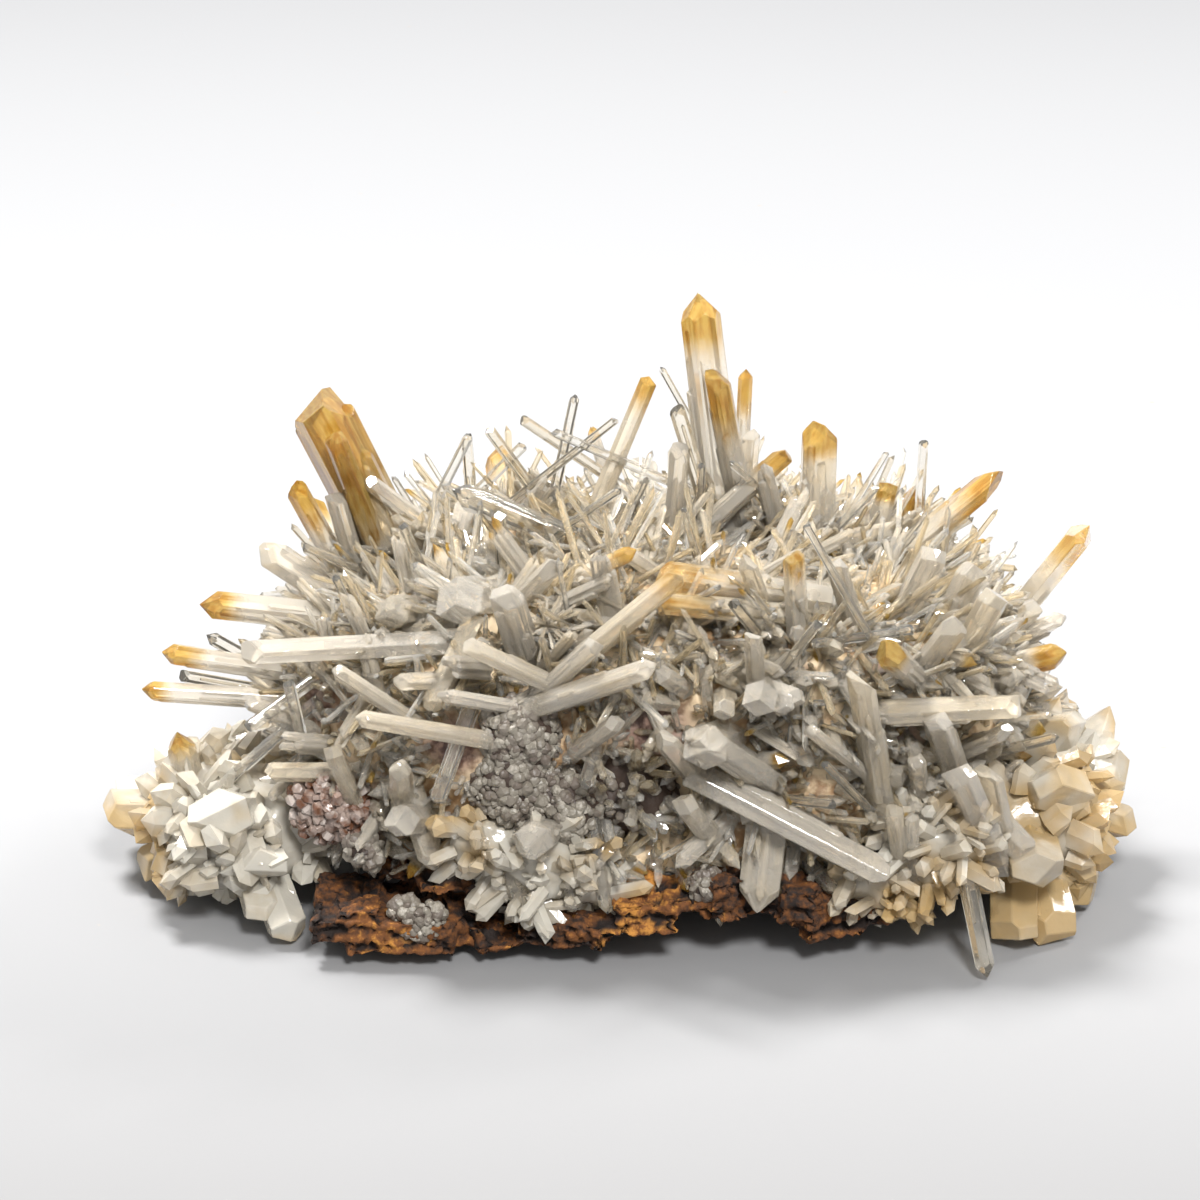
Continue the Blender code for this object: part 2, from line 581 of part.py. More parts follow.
def make_matrix(parts, cutters, crystal_rooms):
    """The rusty ironstone: a ledgy block with box-like holes in its front, arched underneath."""
    chance = random.Random(21)
    shapes = [partial(blob_shape, MATRIX, 2, 0.0030, 0.010, ROCK_SEED)]
    front = MATRIX.centre.y - MATRIX.half.y * 0.86
    for number, lift in enumerate(LEDGE_LIFTS):
        across = (number + 0.5) / len(LEDGE_LIFTS)
        x = MATRIX.centre.x + MATRIX.half.x * (2 * across - 1) * 0.86
        size = [chance.uniform(*span) for span in LEDGE_SIZE]
        turn = Matrix.Rotation(chance.uniform(-0.5, 0.5), 3, "Z")
        turn = turn @ Matrix.Rotation(chance.uniform(-0.15, 0.15), 3, "X")
        shapes.append(partial(block_shape, size, turn, (x, front, lift)))
    back = MATRIX.centre.y + MATRIX.half.y * 0.84
    for number in range(REAR_LEDGES):
        x = MATRIX.centre.x + MATRIX.half.x * ((2 * number + 1) / REAR_LEDGES - 1) * 0.8
        size = [chance.uniform(*span) for span in LEDGE_SIZE]
        turn = Matrix.Rotation(chance.uniform(-0.4, 0.4), 3, "Z")
        shapes.append(partial(block_shape, size, turn, (x, back, chance.uniform(0.004, 0.011))))
    rock, room = build_body("ironstone_matrix", shapes, parts, cutters)
    holes = new_child(cutters, "rock_holes")
    for number, hole in enumerate(ROCK_HOLES):
        turn = Matrix.Rotation(chance.uniform(-0.2, 0.2), 3, "Y")
        centre = seen_at(hole.pixel, MATRIX.centre.y - MATRIX.half.y)
        mesh = block_shape((hole.width, HOLE_DEPTH, hole.height), turn, centre)
        make_cutter(f"rock_hole_{number}", mesh, holes)
    combine(rock, holes, "DIFFERENCE")
    arch = bmesh.new()
    bmesh.ops.create_cone(
        arch, cap_ends=True, segments=20, radius1=ARCH_RADIUS, radius2=ARCH_RADIUS,
        depth=CUTTER_WIDTH
    )
    upright = Matrix.Rotation(math.pi / 2, 3, "X")
    bmesh.ops.rotate(arch, cent=(0, 0, 0), matrix=upright, verts=arch.verts)
    bmesh.ops.translate(arch, vec=(ARCH_X, 0.0, ARCH_LOW - ARCH_RADIUS), verts=arch.verts)
    combine(rock, make_cutter("rock_arch", arch, cutters), "DIFFERENCE")
    combine(rock, floor_cutter(cutters), "DIFFERENCE")
    combine(rock, crystal_rooms, "DIFFERENCE")
    settle(rock)
    return room


def floor_cutter(cutters):
    """Everything below the ground, made once."""
    found = bpy.data.objects.get("below_ground")
    if found:
        return found
    mesh = bmesh.new()
    bmesh.ops.create_cube(mesh, size=1.0)
    bmesh.ops.scale(mesh, vec=(CUTTER_WIDTH, CUTTER_WIDTH, CUTTER_DEPTH), verts=mesh.verts)
    bmesh.ops.translate(mesh, vec=(0, 0, -CUTTER_DEPTH / 2), verts=mesh.verts)
    return make_cutter("below_ground", mesh, cutters)


def underside_cutter(cutters):
    """Everything below the bed's sloping underside."""
    run = UNDERSIDE_RIGHT - UNDERSIDE_LEFT
    mesh = bmesh.new()
    bmesh.ops.create_cube(mesh, size=1.0)
    bmesh.ops.scale(mesh, vec=(CUTTER_WIDTH, CUTTER_WIDTH, CUTTER_DEPTH), verts=mesh.verts)
    bmesh.ops.translate(mesh, vec=(0, 0, -CUTTER_DEPTH / 2), verts=mesh.verts)
    slope = Matrix.Rotation(-math.atan2(run.z, run.x), 3, "Y")
    bmesh.ops.rotate(mesh, cent=(0, 0, 0), matrix=slope, verts=mesh.verts)
    bmesh.ops.translate(mesh, vec=UNDERSIDE_LEFT.lerp(UNDERSIDE_RIGHT, 0.5), verts=mesh.verts)
    return make_cutter("below_underside", mesh, cutters)


def make_mass(parts, cutters, name, blob, blocks, seed):
    """A milky mass: a rounded heart with blocky crystals standing out of it."""
    chance = random.Random(seed)
    shapes = [partial(blob_shape, blob, 2, 0.0015, 0.008, seed)]
    ends = [(seen_at(row.tip, row.depth), row.width) for row in blocks]
    for number in range(BLOCK_REAR_COUNT):
        turn = math.radians(15 + 150 * number / (BLOCK_REAR_COUNT - 1))
        ray = Vector((math.cos(turn), math.sin(turn), chance.uniform(-0.35, 0.55)))
        reach = Vector(ray[i] * blob.half[i] * 1.12 for i in range(3))
        ends.append((blob.centre + reach, chance.uniform(0.006, 0.009)))
    for number, (tip, width) in enumerate(ends):
        root = blob.centre.lerp(tip, 0.15)
        form = ("blunt", "broken")[number % 2]
        flat = chance.uniform(0.55, 0.85)
        shapes.append(partial(crystal_shape, tip, root, width, form, flat, seed + number))
    mass, room = build_body(name, shapes, parts, cutters)
    combine(mass, floor_cutter(cutters), "DIFFERENCE")
    return mass, room


def segment_gap(a, b, c, d):
    """The least distance between two straight segments, near enough for keeping crystals apart."""
    steps = 8
    least = 1.0
    for i in range(steps + 1):
        point = a.lerp(b, i / steps)
        line = d - c
        along = max(0.0, min(1.0, (point - c).dot(line) / line.length_squared))
        least = min(least, (point - c - line * along).length)
    return least


def small_list(rows):
    """Tip, root and width of each small crystal, read or random, clear of the large ones."""
    chance = random.Random(7)
    found = []
    for row in SMALL_CRYSTALS:
        foot = front_point(row.foot) if row.depth is None else seen_at(row.foot, row.depth)
        tip = seen_at(row.tip, foot.y + row.lean)
        found.append((tip, rooted(tip, foot), row.width))
    tries = 0
    while len(found) < len(SMALL_CRYSTALS) + RANDOM_SMALL and tries < SMALL_TRIES:
        tries += 1
        ray = Vector((chance.gauss(0, 1), chance.gauss(0, 1), abs(chance.gauss(0, 1)))).normalized()
        size = sum(abs(ray[i] / BED.half[i]) ** BED.power for i in range(3)) ** (-1 / BED.power)
        foot = BED.centre + ray * size
        outward = Vector(ray[i] / BED.half[i] for i in range(3)).normalized()
        wander = Vector(chance.uniform(-SMALL_WANDER, SMALL_WANDER) for _ in range(3))
        direction = (outward + wander).normalized()
        tip = foot + direction * chance.uniform(*SMALL_LENGTH)
        width = chance.uniform(*SMALL_WIDTH)
        root = foot - direction * ROOT_SET
        low = tip.z < LOWEST_SMALL_TIP or foot.z < LOWEST_SMALL_FOOT
        wide = abs(tip.y - MIDDLE_Y) > SMALL_REACH_Y
        wide = wide or not SMALL_REACH_X[0] < tip.x < SMALL_REACH_X[1]
        near = any(
            segment_gap(tip, root, r[1], r[2]) < (width + r[3]) / 2 + 2 * GAP for r in rows
        )
        if low or wide or near:
            continue
        found.append((tip, root, width))
    return found


def make_bed(parts, cutters, rows):
    """The quartz bed: the body of the cluster, bristling with small crystals that grow out of it."""
    shapes = [partial(blob_shape, BED, 3, 0.0028, 0.011, BED_SEED)]
    shapes.append(partial(blob_shape, RIGHT_FOOT, 2, 0.0015, 0.008, FOOT_SEED))
    for number, (tip, root, width) in enumerate(small_list(rows)):
        shapes.append(partial(small_shape, tip, root, width, number * 0.7))
    return build_body("quartz_bed", shapes, parts, cutters)[0]


def make_druse(parts, cutters):
    """The grey druse: a crust of rounded knobs beside and behind the hollow."""
    chance = random.Random(31)
    hearts = []
    for pixel, radius, back in DRUSE_SPOTS:
        hearts.append((front_point(pixel) + Vector((0, back, 0)), radius))
    shapes = []
    for number, (centre, radius) in enumerate(hearts):
        heart = Blob(centre, Vector((radius, radius * 0.8, radius)), 2.0)
        shapes.append(partial(blob_shape, heart, 1, 0.0006, 0.003, number))
    for number in range(DRUSE_KNOBS):
        centre, radius = hearts[number % len(hearts)]
        ray = Vector((chance.uniform(-1, 1), chance.uniform(-1.2, -0.4), chance.uniform(-1, 1)))
        ray.normalize()
        turn = Matrix.Rotation(chance.uniform(0, 3), 3, ray)
        spot = centre + Vector((ray.x * radius, ray.y * radius * 0.8, ray.z * radius))
        shapes.append(partial(knob_shape, spot, chance.uniform(*KNOB_RADIUS), turn))
    return build_body("grey_druse", shapes, parts, cutters)


def hollow_cutter(cutters):
    """The hollow in the front of the bed."""
    blob = Blob(front_point(HOLLOW_PIXEL), HOLLOW_HALF, 2.2)
    return make_cutter("hollow", blob_shape(blob, 2, 0.0008, 0.005, 3.0), cutters)


def main():
    for old in list(bpy.data.objects):
        bpy.data.objects.remove(old)
    parts = new_collection(COLLECTION)
    cutters = new_collection(CUTTERS)
    crystals = crystal_list()
    crystal_rooms = make_large_crystals(parts, cutters, crystals)
    rock_room = make_matrix(parts, cutters, crystal_rooms)

    left, left_room = make_mass(parts, cutters, "milky_mass_left", LEFT_MASS, LEFT_BLOCKS, LEFT_SEED)
    right, right_room = make_mass(
        parts, cutters, "milky_mass_right", RIGHT_MASS, RIGHT_BLOCKS, RIGHT_SEED
    )
    for mass in (left, right):
        combine(mass, rock_room, "DIFFERENCE")
        combine(mass, crystal_rooms, "DIFFERENCE")
        settle(mass)

    druse, druse_room = make_druse(parts, cutters)
    for room in (rock_room, left_room, right_room, crystal_rooms):
        combine(druse, room, "DIFFERENCE")
    settle(druse)

    bed = make_bed(parts, cutters, crystals)
    rooms = (rock_room, left_room, right_room, druse_room, crystal_rooms)
    for room in (hollow_cutter(cutters), underside_cutter(cutters), *rooms):
        combine(bed, room, "DIFFERENCE")
    settle(bed)

    for piece in parts.objects:
        piece.data.transform(Matrix.Translation((-MIDDLE_X, -MIDDLE_Y, 0)))
        paint(piece)


main()
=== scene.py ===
"""Mango quartz: clear and milky quartz crystals with mango yellow tips, on rusty ironstone."""

import json
import math
import random
from collections import namedtuple

import bmesh
import bpy
import numpy as np
from bpy.props import FloatProperty, FloatVectorProperty, IntProperty, PointerProperty
from bpy.types import Operator, Panel, PropertyGroup
from mathutils import Matrix, Vector, noise

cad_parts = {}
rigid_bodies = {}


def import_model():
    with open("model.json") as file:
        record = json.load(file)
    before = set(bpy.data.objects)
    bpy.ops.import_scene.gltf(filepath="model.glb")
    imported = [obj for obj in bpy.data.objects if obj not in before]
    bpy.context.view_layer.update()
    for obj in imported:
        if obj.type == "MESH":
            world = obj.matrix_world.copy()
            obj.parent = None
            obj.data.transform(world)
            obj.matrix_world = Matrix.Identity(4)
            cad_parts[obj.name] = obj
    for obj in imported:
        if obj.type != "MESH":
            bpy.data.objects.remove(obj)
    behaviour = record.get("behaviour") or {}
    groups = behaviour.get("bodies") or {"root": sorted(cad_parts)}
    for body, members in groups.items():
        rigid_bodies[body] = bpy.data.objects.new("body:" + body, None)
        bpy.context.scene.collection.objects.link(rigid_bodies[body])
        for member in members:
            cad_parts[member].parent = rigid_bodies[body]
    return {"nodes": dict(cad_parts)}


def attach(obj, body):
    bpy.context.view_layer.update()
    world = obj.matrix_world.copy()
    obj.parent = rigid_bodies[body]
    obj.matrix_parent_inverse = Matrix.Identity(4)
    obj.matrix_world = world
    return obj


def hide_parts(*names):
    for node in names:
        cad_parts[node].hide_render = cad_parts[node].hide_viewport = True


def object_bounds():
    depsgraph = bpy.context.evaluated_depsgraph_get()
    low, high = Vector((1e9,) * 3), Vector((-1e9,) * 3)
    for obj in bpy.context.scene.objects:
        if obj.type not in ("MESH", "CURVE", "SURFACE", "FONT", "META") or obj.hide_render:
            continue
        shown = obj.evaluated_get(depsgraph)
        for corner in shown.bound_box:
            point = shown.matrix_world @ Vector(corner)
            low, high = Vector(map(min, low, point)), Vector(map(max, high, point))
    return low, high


bl_info = {
    "name": "Mango quartz",
    "version": (1, 0, 0),
    "blender": (4, 5, 0),
    "location": "View3D > Sidebar > Mango quartz",
    "description": "A cluster of quartz crystals with mango yellow tips on rusty ironstone",
    "category": "Add Mesh",
}

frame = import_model()
CAD_BOX = [list(corner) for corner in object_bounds()]

# The front view in which the crystals were read: its tilt, its distance and its focal length in
# pixels, aimed at a point VIEW_HEIGHT above the ground. A pixel is 0.1325 mm at that point.
VIEW_TILT = math.radians(22)
VIEW_DISTANCE = 0.5
VIEW_HEIGHT = 0.036
VIEW_FOCAL = 3774
VIEW_MIDDLE = 600

# The crystals were read around a point this far right of and behind the origin.
MIDDLE = Vector((0.0027, 0.0025, 0))

# A crystal is this much narrower at its tip than at its root, and its root is set this deep.
TAPER = 0.92
ROOT_SET = 0.0065

# The depths between which the front of the quartz is looked for, and the step.
SEARCH_FROM = -0.060
SEARCH_TO = 0.050
SEARCH_STEP = 0.0005

# A quartz rhombohedron face leans this far from the crystal's long axis, as its normal.
RHOMB = math.radians(51.8)

# Rounded bodies: centre, half sizes, and how boxy they are (2 is an ellipsoid).
Blob = namedtuple("Blob", "centre half power")
BED = Blob(Vector((0.0070, 0.0010, 0.0200)), Vector((0.0505, 0.0340, 0.0255)), 3.0)
LEFT_MASS = Blob(Vector((-0.0470, -0.0110, 0.0095)), Vector((0.0115, 0.0155, 0.0085)), 2.4)
RIGHT_MASS = Blob(Vector((0.0550, -0.0080, 0.0120)), Vector((0.0105, 0.0180, 0.0105)), 2.4)
RIGHT_FOOT = Blob(Vector((0.0420, -0.0210, 0.0110)), Vector((0.0140, 0.0120, 0.0095)), 2.4)
MATRIX = Blob(Vector((-0.0010, -0.0020, 0.0090)), Vector((0.0400, 0.0315, 0.0100)), 4.5)

# One crystal: the node it belongs to, the pixels of its tip and of its foot in the front view, its
# width, how far its tip stands behind its foot (minus is in front), the form of its end, its
# thickness over its width, and the depth of its foot where the view doesn't show one.
Crystal = namedtuple(
    "Crystal", "node tip foot width lean form flat depth", defaults=("point", 1.0, None)
)

MANGO_CRYSTALS = (
    Crystal("mango_big_left", (310, 392), (366, 500), 0.0104, -0.0015, "broken", 0.8, 0.008),
    Crystal("mango_big_left", (333, 433), (356, 494), 0.0034, -0.0030, "rounded", 1.0, 0.003),
    Crystal("mango_second_left", (292, 482), (327, 545), 0.0040, -0.0020, "chisel", 0.8, 0.006),
    Crystal("mango_tall", (697, 288), (720, 478), 0.0058, 0.0000, "point", 1.0, 0.008),
    Crystal("mango_tall", (716, 372), (737, 484), 0.0046, -0.0020, "broken", 0.8, 0.006),
    Crystal("mango_tall_side", (746, 368), (742, 450), 0.0021, 0.0000, "point", 1.0, 0.0150),
    Crystal("mango_left_of_tall", (651, 375), (622, 445), 0.0029, 0.0010, "blunt", 1.0, 0.012),
    Crystal("mango_twin", (820, 420), (816, 520), 0.0056, -0.0010, "chisel", 0.8, 0.008),
    Crystal("mango_twin", (790, 450), (700, 532), 0.0037, -0.0010, "broken", 0.8, 0.004),
    Crystal("mango_leaf", (1004, 470), (893, 562), 0.0064, -0.0010, "chisel", 0.45, 0.006),
    Crystal("mango_right", (1091, 522), (1028, 600), 0.0044, -0.0010, "point", 0.9, 0.004),
    Crystal("mango_centre_right", (884, 650), (908, 672), 0.0044, -0.0075, "chisel", 0.9),
    Crystal("mango_right_tip", (1070, 652), (1008, 667), 0.0037, -0.0030, "point", 1.0, -0.011),
    Crystal("mango_left_upper", (197, 603), (280, 612), 0.0045, -0.0020, "point", 1.0, -0.009),
    Crystal("mango_left_middle", (159, 652), (233, 663), 0.0032, -0.0020, "point", 1.0, -0.008),
    Crystal("mango_left_lower", (139, 690), (200, 694), 0.0029, -0.0010, "point", 1.0, -0.011),
    Crystal("mango_low_left", (176, 728), (196, 800), 0.0040, 0.0000, "point", 1.0, -0.012),
    Crystal("mango_inner_left", (639, 549), (572, 580), 0.0024, -0.0020, "point"),
    Crystal("mango_diagonal", (682, 574), (582, 656), 0.0037, -0.0040, "chisel", 0.8),
    Crystal("mango_pair", (655, 574), (780, 592), 0.0050, -0.0020, "broken", 0.8),
    Crystal("mango_pair", (652, 602), (756, 612), 0.0036, -0.0025, "blunt", 0.9),
    Crystal("mango_stub", (793, 551), (797, 620), 0.0032, -0.0030, "blunt"),
    Crystal("mango_back_right", (890, 479), (880, 522), 0.0034, -0.0010, "blunt", 0.9, 0.013),
    Crystal("mango_back_right_small", (915, 484), (908, 520), 0.0026, 0.0000, "point", 1.0, 0.017),
)

MILKY_CRYSTALS = (
    Crystal("milky_long_left", (238, 653), (416, 644), 0.0046, -0.0030, "chisel", 0.75),
    Crystal("milky_short_left", (352, 717), (488, 740), 0.0027, -0.0055, "point"),
    Crystal("milky_grey_left", (261, 772), (330, 772), 0.0033, -0.0010, "blunt", 0.8),
    Crystal("milky_diagonal_left", (428, 712), (454, 660), 0.0029, -0.0050, "blunt", 0.8),
    Crystal("milky_centre", (467, 645), (558, 688), 0.0036, -0.0050, "broken", 0.7),
    Crystal("milky_centre", (655, 666), (537, 706), 0.0037, -0.0095, "rounded", 0.8),
    Crystal("milky_blade", (860, 676), (879, 795), 0.0046, -0.0050, "broken", 0.5),
    Crystal("milky_cross_right", (1024, 706), (896, 712), 0.0050, -0.0010, "broken", 0.6),
    Crystal("milky_front_diagonal", (890, 876), (735, 795), 0.0058, -0.0050, "broken", 0.7),
    Crystal("milky_block", (700, 750), (716, 742), 0.0068, -0.0080, "blunt", 0.9),
    Crystal("milky_hexagon", (758, 700), (764, 694), 0.0050, -0.0085, "blunt"),
    Crystal("milky_grey_end", (453, 601), (470, 600), 0.0072, -0.0075, "blunt", 0.9),
    Crystal("milky_dark_end", (388, 612), (402, 612), 0.0050, -0.0065, "rounded", 0.9),
    Crystal("milky_down_point", (756, 919), (764, 852), 0.0060, -0.0030, "point", 0.6),
    Crystal("milky_hex_right", (1036, 862), (977, 801), 0.0050, -0.0040, "blunt", 0.9),
    Crystal("milky_flat_right", (1068, 615), (1010, 641), 0.0050, 0.0010, "rounded", 0.5, -0.002),
    Crystal("milky_flat_left", (258, 545), (312, 580), 0.0058, 0.0000, "rounded", 0.6, 0.001),
    Crystal("milky_blunt_right", (937, 548), (910, 602), 0.0040, -0.0025, "blunt"),
    Crystal("milky_upper_right", (973, 564), (953, 610), 0.0037, -0.0020, "blunt"),
    Crystal("milky_tan_hexagon", (997, 592), (966, 650), 0.0041, -0.0060, "blunt"),
    Crystal("milky_facet", (437, 874), (420, 822), 0.0040, -0.0030, "point", 0.8),
    Crystal("milky_facet", (396, 822), (418, 818), 0.0050, -0.0070, "blunt", 0.9),
    Crystal("milky_cream_block", (529, 845), (540, 832), 0.0062, -0.0070, "broken", 0.8),
    Crystal("milky_small_middle", (673, 869), (706, 838), 0.0027, -0.0030, "point"),
)

CLEAR_CRYSTALS = (
    Crystal("clear_down_right", (988, 979), (973, 905), 0.0026, -0.0050, "point", 1.0, -0.035),
    Crystal("clear_down_left", (531, 928), (512, 876), 0.0029, -0.0030, "point"),
    Crystal("clear_upright_rod", (499, 511), (502, 560), 0.0019, -0.0020, "blunt"),
    Crystal("clear_middle_right", (839, 896), (814, 868), 0.0021, -0.0035, "point"),
)

# Crystals of the side that the front view doesn't show: the node, the tip in metres, the width,
# the form of the end and the thickness over the width. Each grows out from below the cluster's middle.
BackCrystal = namedtuple("BackCrystal", "node tip width form flat")
BACK_CRYSTALS = (
    BackCrystal("mango_rear_tall", (-0.014, 0.034, 0.046), 0.0052, "point", 0.9),
    BackCrystal("mango_rear_left", (-0.041, 0.033, 0.038), 0.0044, "chisel", 0.8),
    BackCrystal("mango_rear_low", (0.021, 0.0455, 0.030), 0.0040, "point", 1.0),
    BackCrystal("mango_rear_right", (0.048, 0.036, 0.034), 0.0046, "chisel", 0.8),
    BackCrystal("milky_rear_blade", (0.006, 0.0430, 0.040), 0.0058, "broken", 0.5),
    BackCrystal("milky_rear_left", (-0.030, 0.0425, 0.021), 0.0050, "blunt", 0.8),
    BackCrystal("milky_rear_right", (0.037, 0.0430, 0.016), 0.0054, "rounded", 0.7),
    BackCrystal("clear_rear_point", (-0.006, 0.0450, 0.022), 0.0030, "point", 1.0),
)

# Crystals too small to be pieces of their own, fused to the bed: pixels of tip and foot, width,
# lean and, where the foot is hidden, its depth.
Small = namedtuple("Small", "tip foot width lean depth", defaults=(None,))
SMALL_CRYSTALS = (
    Small((471, 432), (449, 476), 0.0016, 0.000, 0.014),
    Small((487, 427), (517, 468), 0.0019, 0.000, 0.012),
    Small((520, 418), (553, 440), 0.0018, -0.002, 0.016),
    Small((576, 393), (566, 440), 0.0018, 0.000, 0.014),
    Small((618, 418), (552, 470), 0.0015, -0.001, 0.011),
    Small((675, 404), (690, 452), 0.0026, 0.000, 0.006),
    Small((660, 366), (696, 430), 0.0012, 0.000, 0.013),
    Small((888, 451), (858, 500), 0.0012, 0.001, 0.012),
    Small((924, 439), (920, 500), 0.0016, 0.000, 0.014),
    Small((450, 490), (560, 535), 0.0042, -0.004),
    Small((466, 433), (470, 480), 0.0020, 0.000, 0.018),
    Small((302, 546), (340, 562), 0.0014, -0.002, -0.002),
    Small((334, 574), (352, 612), 0.0015, -0.003),
    Small((402, 523), (425, 575), 0.0015, -0.004),
    Small((178, 675), (250, 688), 0.0021, 0.000, -0.006),
    Small((205, 634), (256, 663), 0.0024, -0.001, -0.006),
    Small((288, 679), (300, 730), 0.0018, -0.002),
    Small((245, 730), (300, 690), 0.0020, -0.004, -0.018),
    Small((189, 815), (285, 730), 0.0020, -0.002, -0.018),
    Small((436, 804), (455, 752), 0.0024, -0.003),
    Small((584, 790), (600, 740), 0.0022, -0.003),
    Small((607, 916), (600, 868), 0.0020, -0.002),
    Small((575, 913), (566, 868), 0.0018, -0.002),
    Small((820, 621), (780, 671), 0.0015, -0.004),
    Small((763, 633), (722, 600), 0.0018, -0.004),
    Small((805, 523), (869, 635), 0.0014, -0.004),
    Small((811, 644), (868, 636), 0.0016, -0.004),
    Small((1061, 736), (1008, 749), 0.0018, -0.002),
    Small((966, 854), (922, 866), 0.0016, -0.003, -0.030),
    Small((836, 805), (794, 800), 0.0016, -0.005),
)

# Blocky crystals of the two milky masses: pixel of the end, width, and depth of the end.
Block = namedtuple("Block", "tip width depth")
LEFT_BLOCKS = (
    Block((97, 812), 0.0090, -0.008),
    Block((112, 788), 0.0085, 0.000),
    Block((136, 868), 0.0085, -0.012),
    Block((170, 892), 0.0090, -0.018),
    Block((212, 900), 0.0095, -0.023),
    Block((262, 872), 0.0080, -0.029),
    Block((272, 928), 0.0075, -0.030),
    Block((293, 940), 0.0060, -0.031),
    Block((160, 760), 0.0090, -0.006),
    Block((215, 815), 0.0100, -0.028),
)
RIGHT_BLOCKS = (
    Block((1136, 765), 0.0085, -0.006),
    Block((1118, 722), 0.0075, 0.000),
    Block((1142, 828), 0.0070, -0.010),
    Block((1106, 866), 0.0085, -0.018),
    Block((1090, 905), 0.0080, -0.022),
    Block((1056, 942), 0.0080, -0.031),
    Block((1014, 948), 0.0075, -0.033),
    Block((1075, 712), 0.0080, -0.012),
    Block((1074, 790), 0.0095, -0.026),
    Block((1040, 880), 0.0085, -0.034),
)
LEFT_SEED = 50
RIGHT_SEED = 84

# Blocks of the side that the view doesn't show: how many, how far past the mass they reach, and
# their widths.
REAR_BLOCKS = 4
REAR_BLOCK_REACH = 1.12
REAR_BLOCK_WIDTH = (0.006, 0.009)

# Crystals of the front that are too many for pieces of their own: what they are made of, and the
# same values as above.
Front = namedtuple("Front", "kind tip foot width lean form flat depth", defaults=(1.0, None))
FRONT_CRYSTALS = (
    Front("milky", (393, 682), (440, 680), 0.0029, -0.0040, "rounded", 0.8),
    Front("milky", (441, 695), (505, 706), 0.0026, -0.0040, "broken", 0.8),
    Front("milky", (333, 668), (400, 712), 0.0030, -0.0020, "blunt", 0.7),
    Front("milky", (700, 735), (745, 765), 0.0054, -0.0060, "blunt", 0.8),
    Front("milky", (807, 728), (862, 770), 0.0025, -0.0050, "rounded", 0.8),
    Front("clear", (822, 761), (866, 806), 0.0013, -0.0050, "point"),
    Front("milky", (893, 806), (903, 872), 0.0028, -0.0040, "broken", 0.7),
    Front("milky", (912, 812), (912, 872), 0.0022, -0.0040, "blunt", 0.8),
    Front("milky", (916, 757), (920, 788), 0.0026, -0.0040, "blunt", 0.9),
    Front("milky", (955, 765), (985, 835), 0.0054, -0.0050, "blunt", 0.7),
    Front("milky", (987, 768), (1000, 830), 0.0046, -0.0040, "broken", 0.7),
    Front("clear", (878, 688), (912, 671), 0.0014, -0.0060, "point"),
    Front("milky", (803, 700), (768, 688), 0.0030, -0.0060, "blunt", 0.9),
    Front("clear", (731, 600), (760, 636), 0.0018, -0.0060, "point"),
    Front("milky", (753, 633), (757, 692), 0.0026, -0.0050, "broken", 0.7),
    Front("milky", (724, 712), (724, 700), 0.0034, -0.0080, "blunt", 0.9),
    Front("milky", (783, 705), (779, 695), 0.0034, -0.0080, "blunt", 0.9),
    Front("milky", (365, 479), (400, 505), 0.0024, -0.0010, "blunt", 1.0, 0.004),
    Front("milky", (333, 490), (345, 530), 0.0034, -0.0020, "blunt", 0.9, 0.004),
    Front("clear", (551, 431), (600, 452), 0.0019, -0.0010, "blunt", 0.7, 0.010),
    Front("clear", (525, 444), (505, 464), 0.0016, 0.0000, "blunt", 1.0, 0.016),
    Front("clear", (622, 488), (584, 514), 0.0013, -0.0010, "point", 1.0, 0.000),
    Front("clear", (628, 503), (612, 528), 0.0010, -0.0030, "point"),
    Front("clear", (702, 462), (699, 522), 0.0012, -0.0030, "point"),
    Front("clear", (682, 507), (695, 550), 0.0011, -0.0040, "point"),
    Front("milky", (681, 441), (676, 500), 0.0031, -0.0010, "chisel", 0.9, 0.006),
    Front("milky", (748, 430), (744, 480), 0.0040, -0.0010, "broken", 0.8, 0.010),
    Front("clear", (729, 461), (752, 482), 0.0011, -0.0020, "point", 1.0, 0.002),
    Front("milky", (560, 560), (520, 600), 0.0046, -0.0050, "chisel", 0.6),
    Front("milky", (600, 640), (545, 690), 0.0034, -0.0060, "blunt", 0.8),
    Front("milky", (505, 590), (520, 640), 0.0048, -0.0060, "broken", 0.8),
    Front("milky", (620, 720), (585, 745), 0.0030, -0.0060, "blunt", 0.8),
    Front("milky", (660, 735), (690, 770), 0.0034, -0.0050, "chisel", 0.8),
    Front("milky", (682, 800), (705, 830), 0.0040, -0.0050, "blunt", 0.8),
    Front("milky", (835, 560), (850, 610), 0.0030, -0.0040, "broken", 0.8),
    Front("milky", (745, 560), (760, 600), 0.0028, -0.0050, "chisel", 0.8),
    Front("milky", (935, 715), (950, 760), 0.0044, -0.0060, "blunt", 0.8),
    Front("milky", (1010, 730), (975, 745), 0.0034, -0.0040, "broken", 0.7),
    Front("milky", (960, 620), (930, 660), 0.0040, -0.0050, "chisel", 0.7),
    Front("milky", (1040, 600), (1000, 640), 0.0046, -0.0010, "broken", 0.6, -0.002),
    Front("milky", (245, 700), (290, 720), 0.0030, -0.0020, "blunt", 0.8),
    Front("milky", (215, 760), (262, 740), 0.0030, -0.0020, "point", 0.9),
    Front("milky", (330, 745), (350, 790), 0.0030, -0.0030, "blunt", 0.9),
    Front("milky", (400, 765), (402, 800), 0.0034, -0.0060, "rounded", 0.9),
)

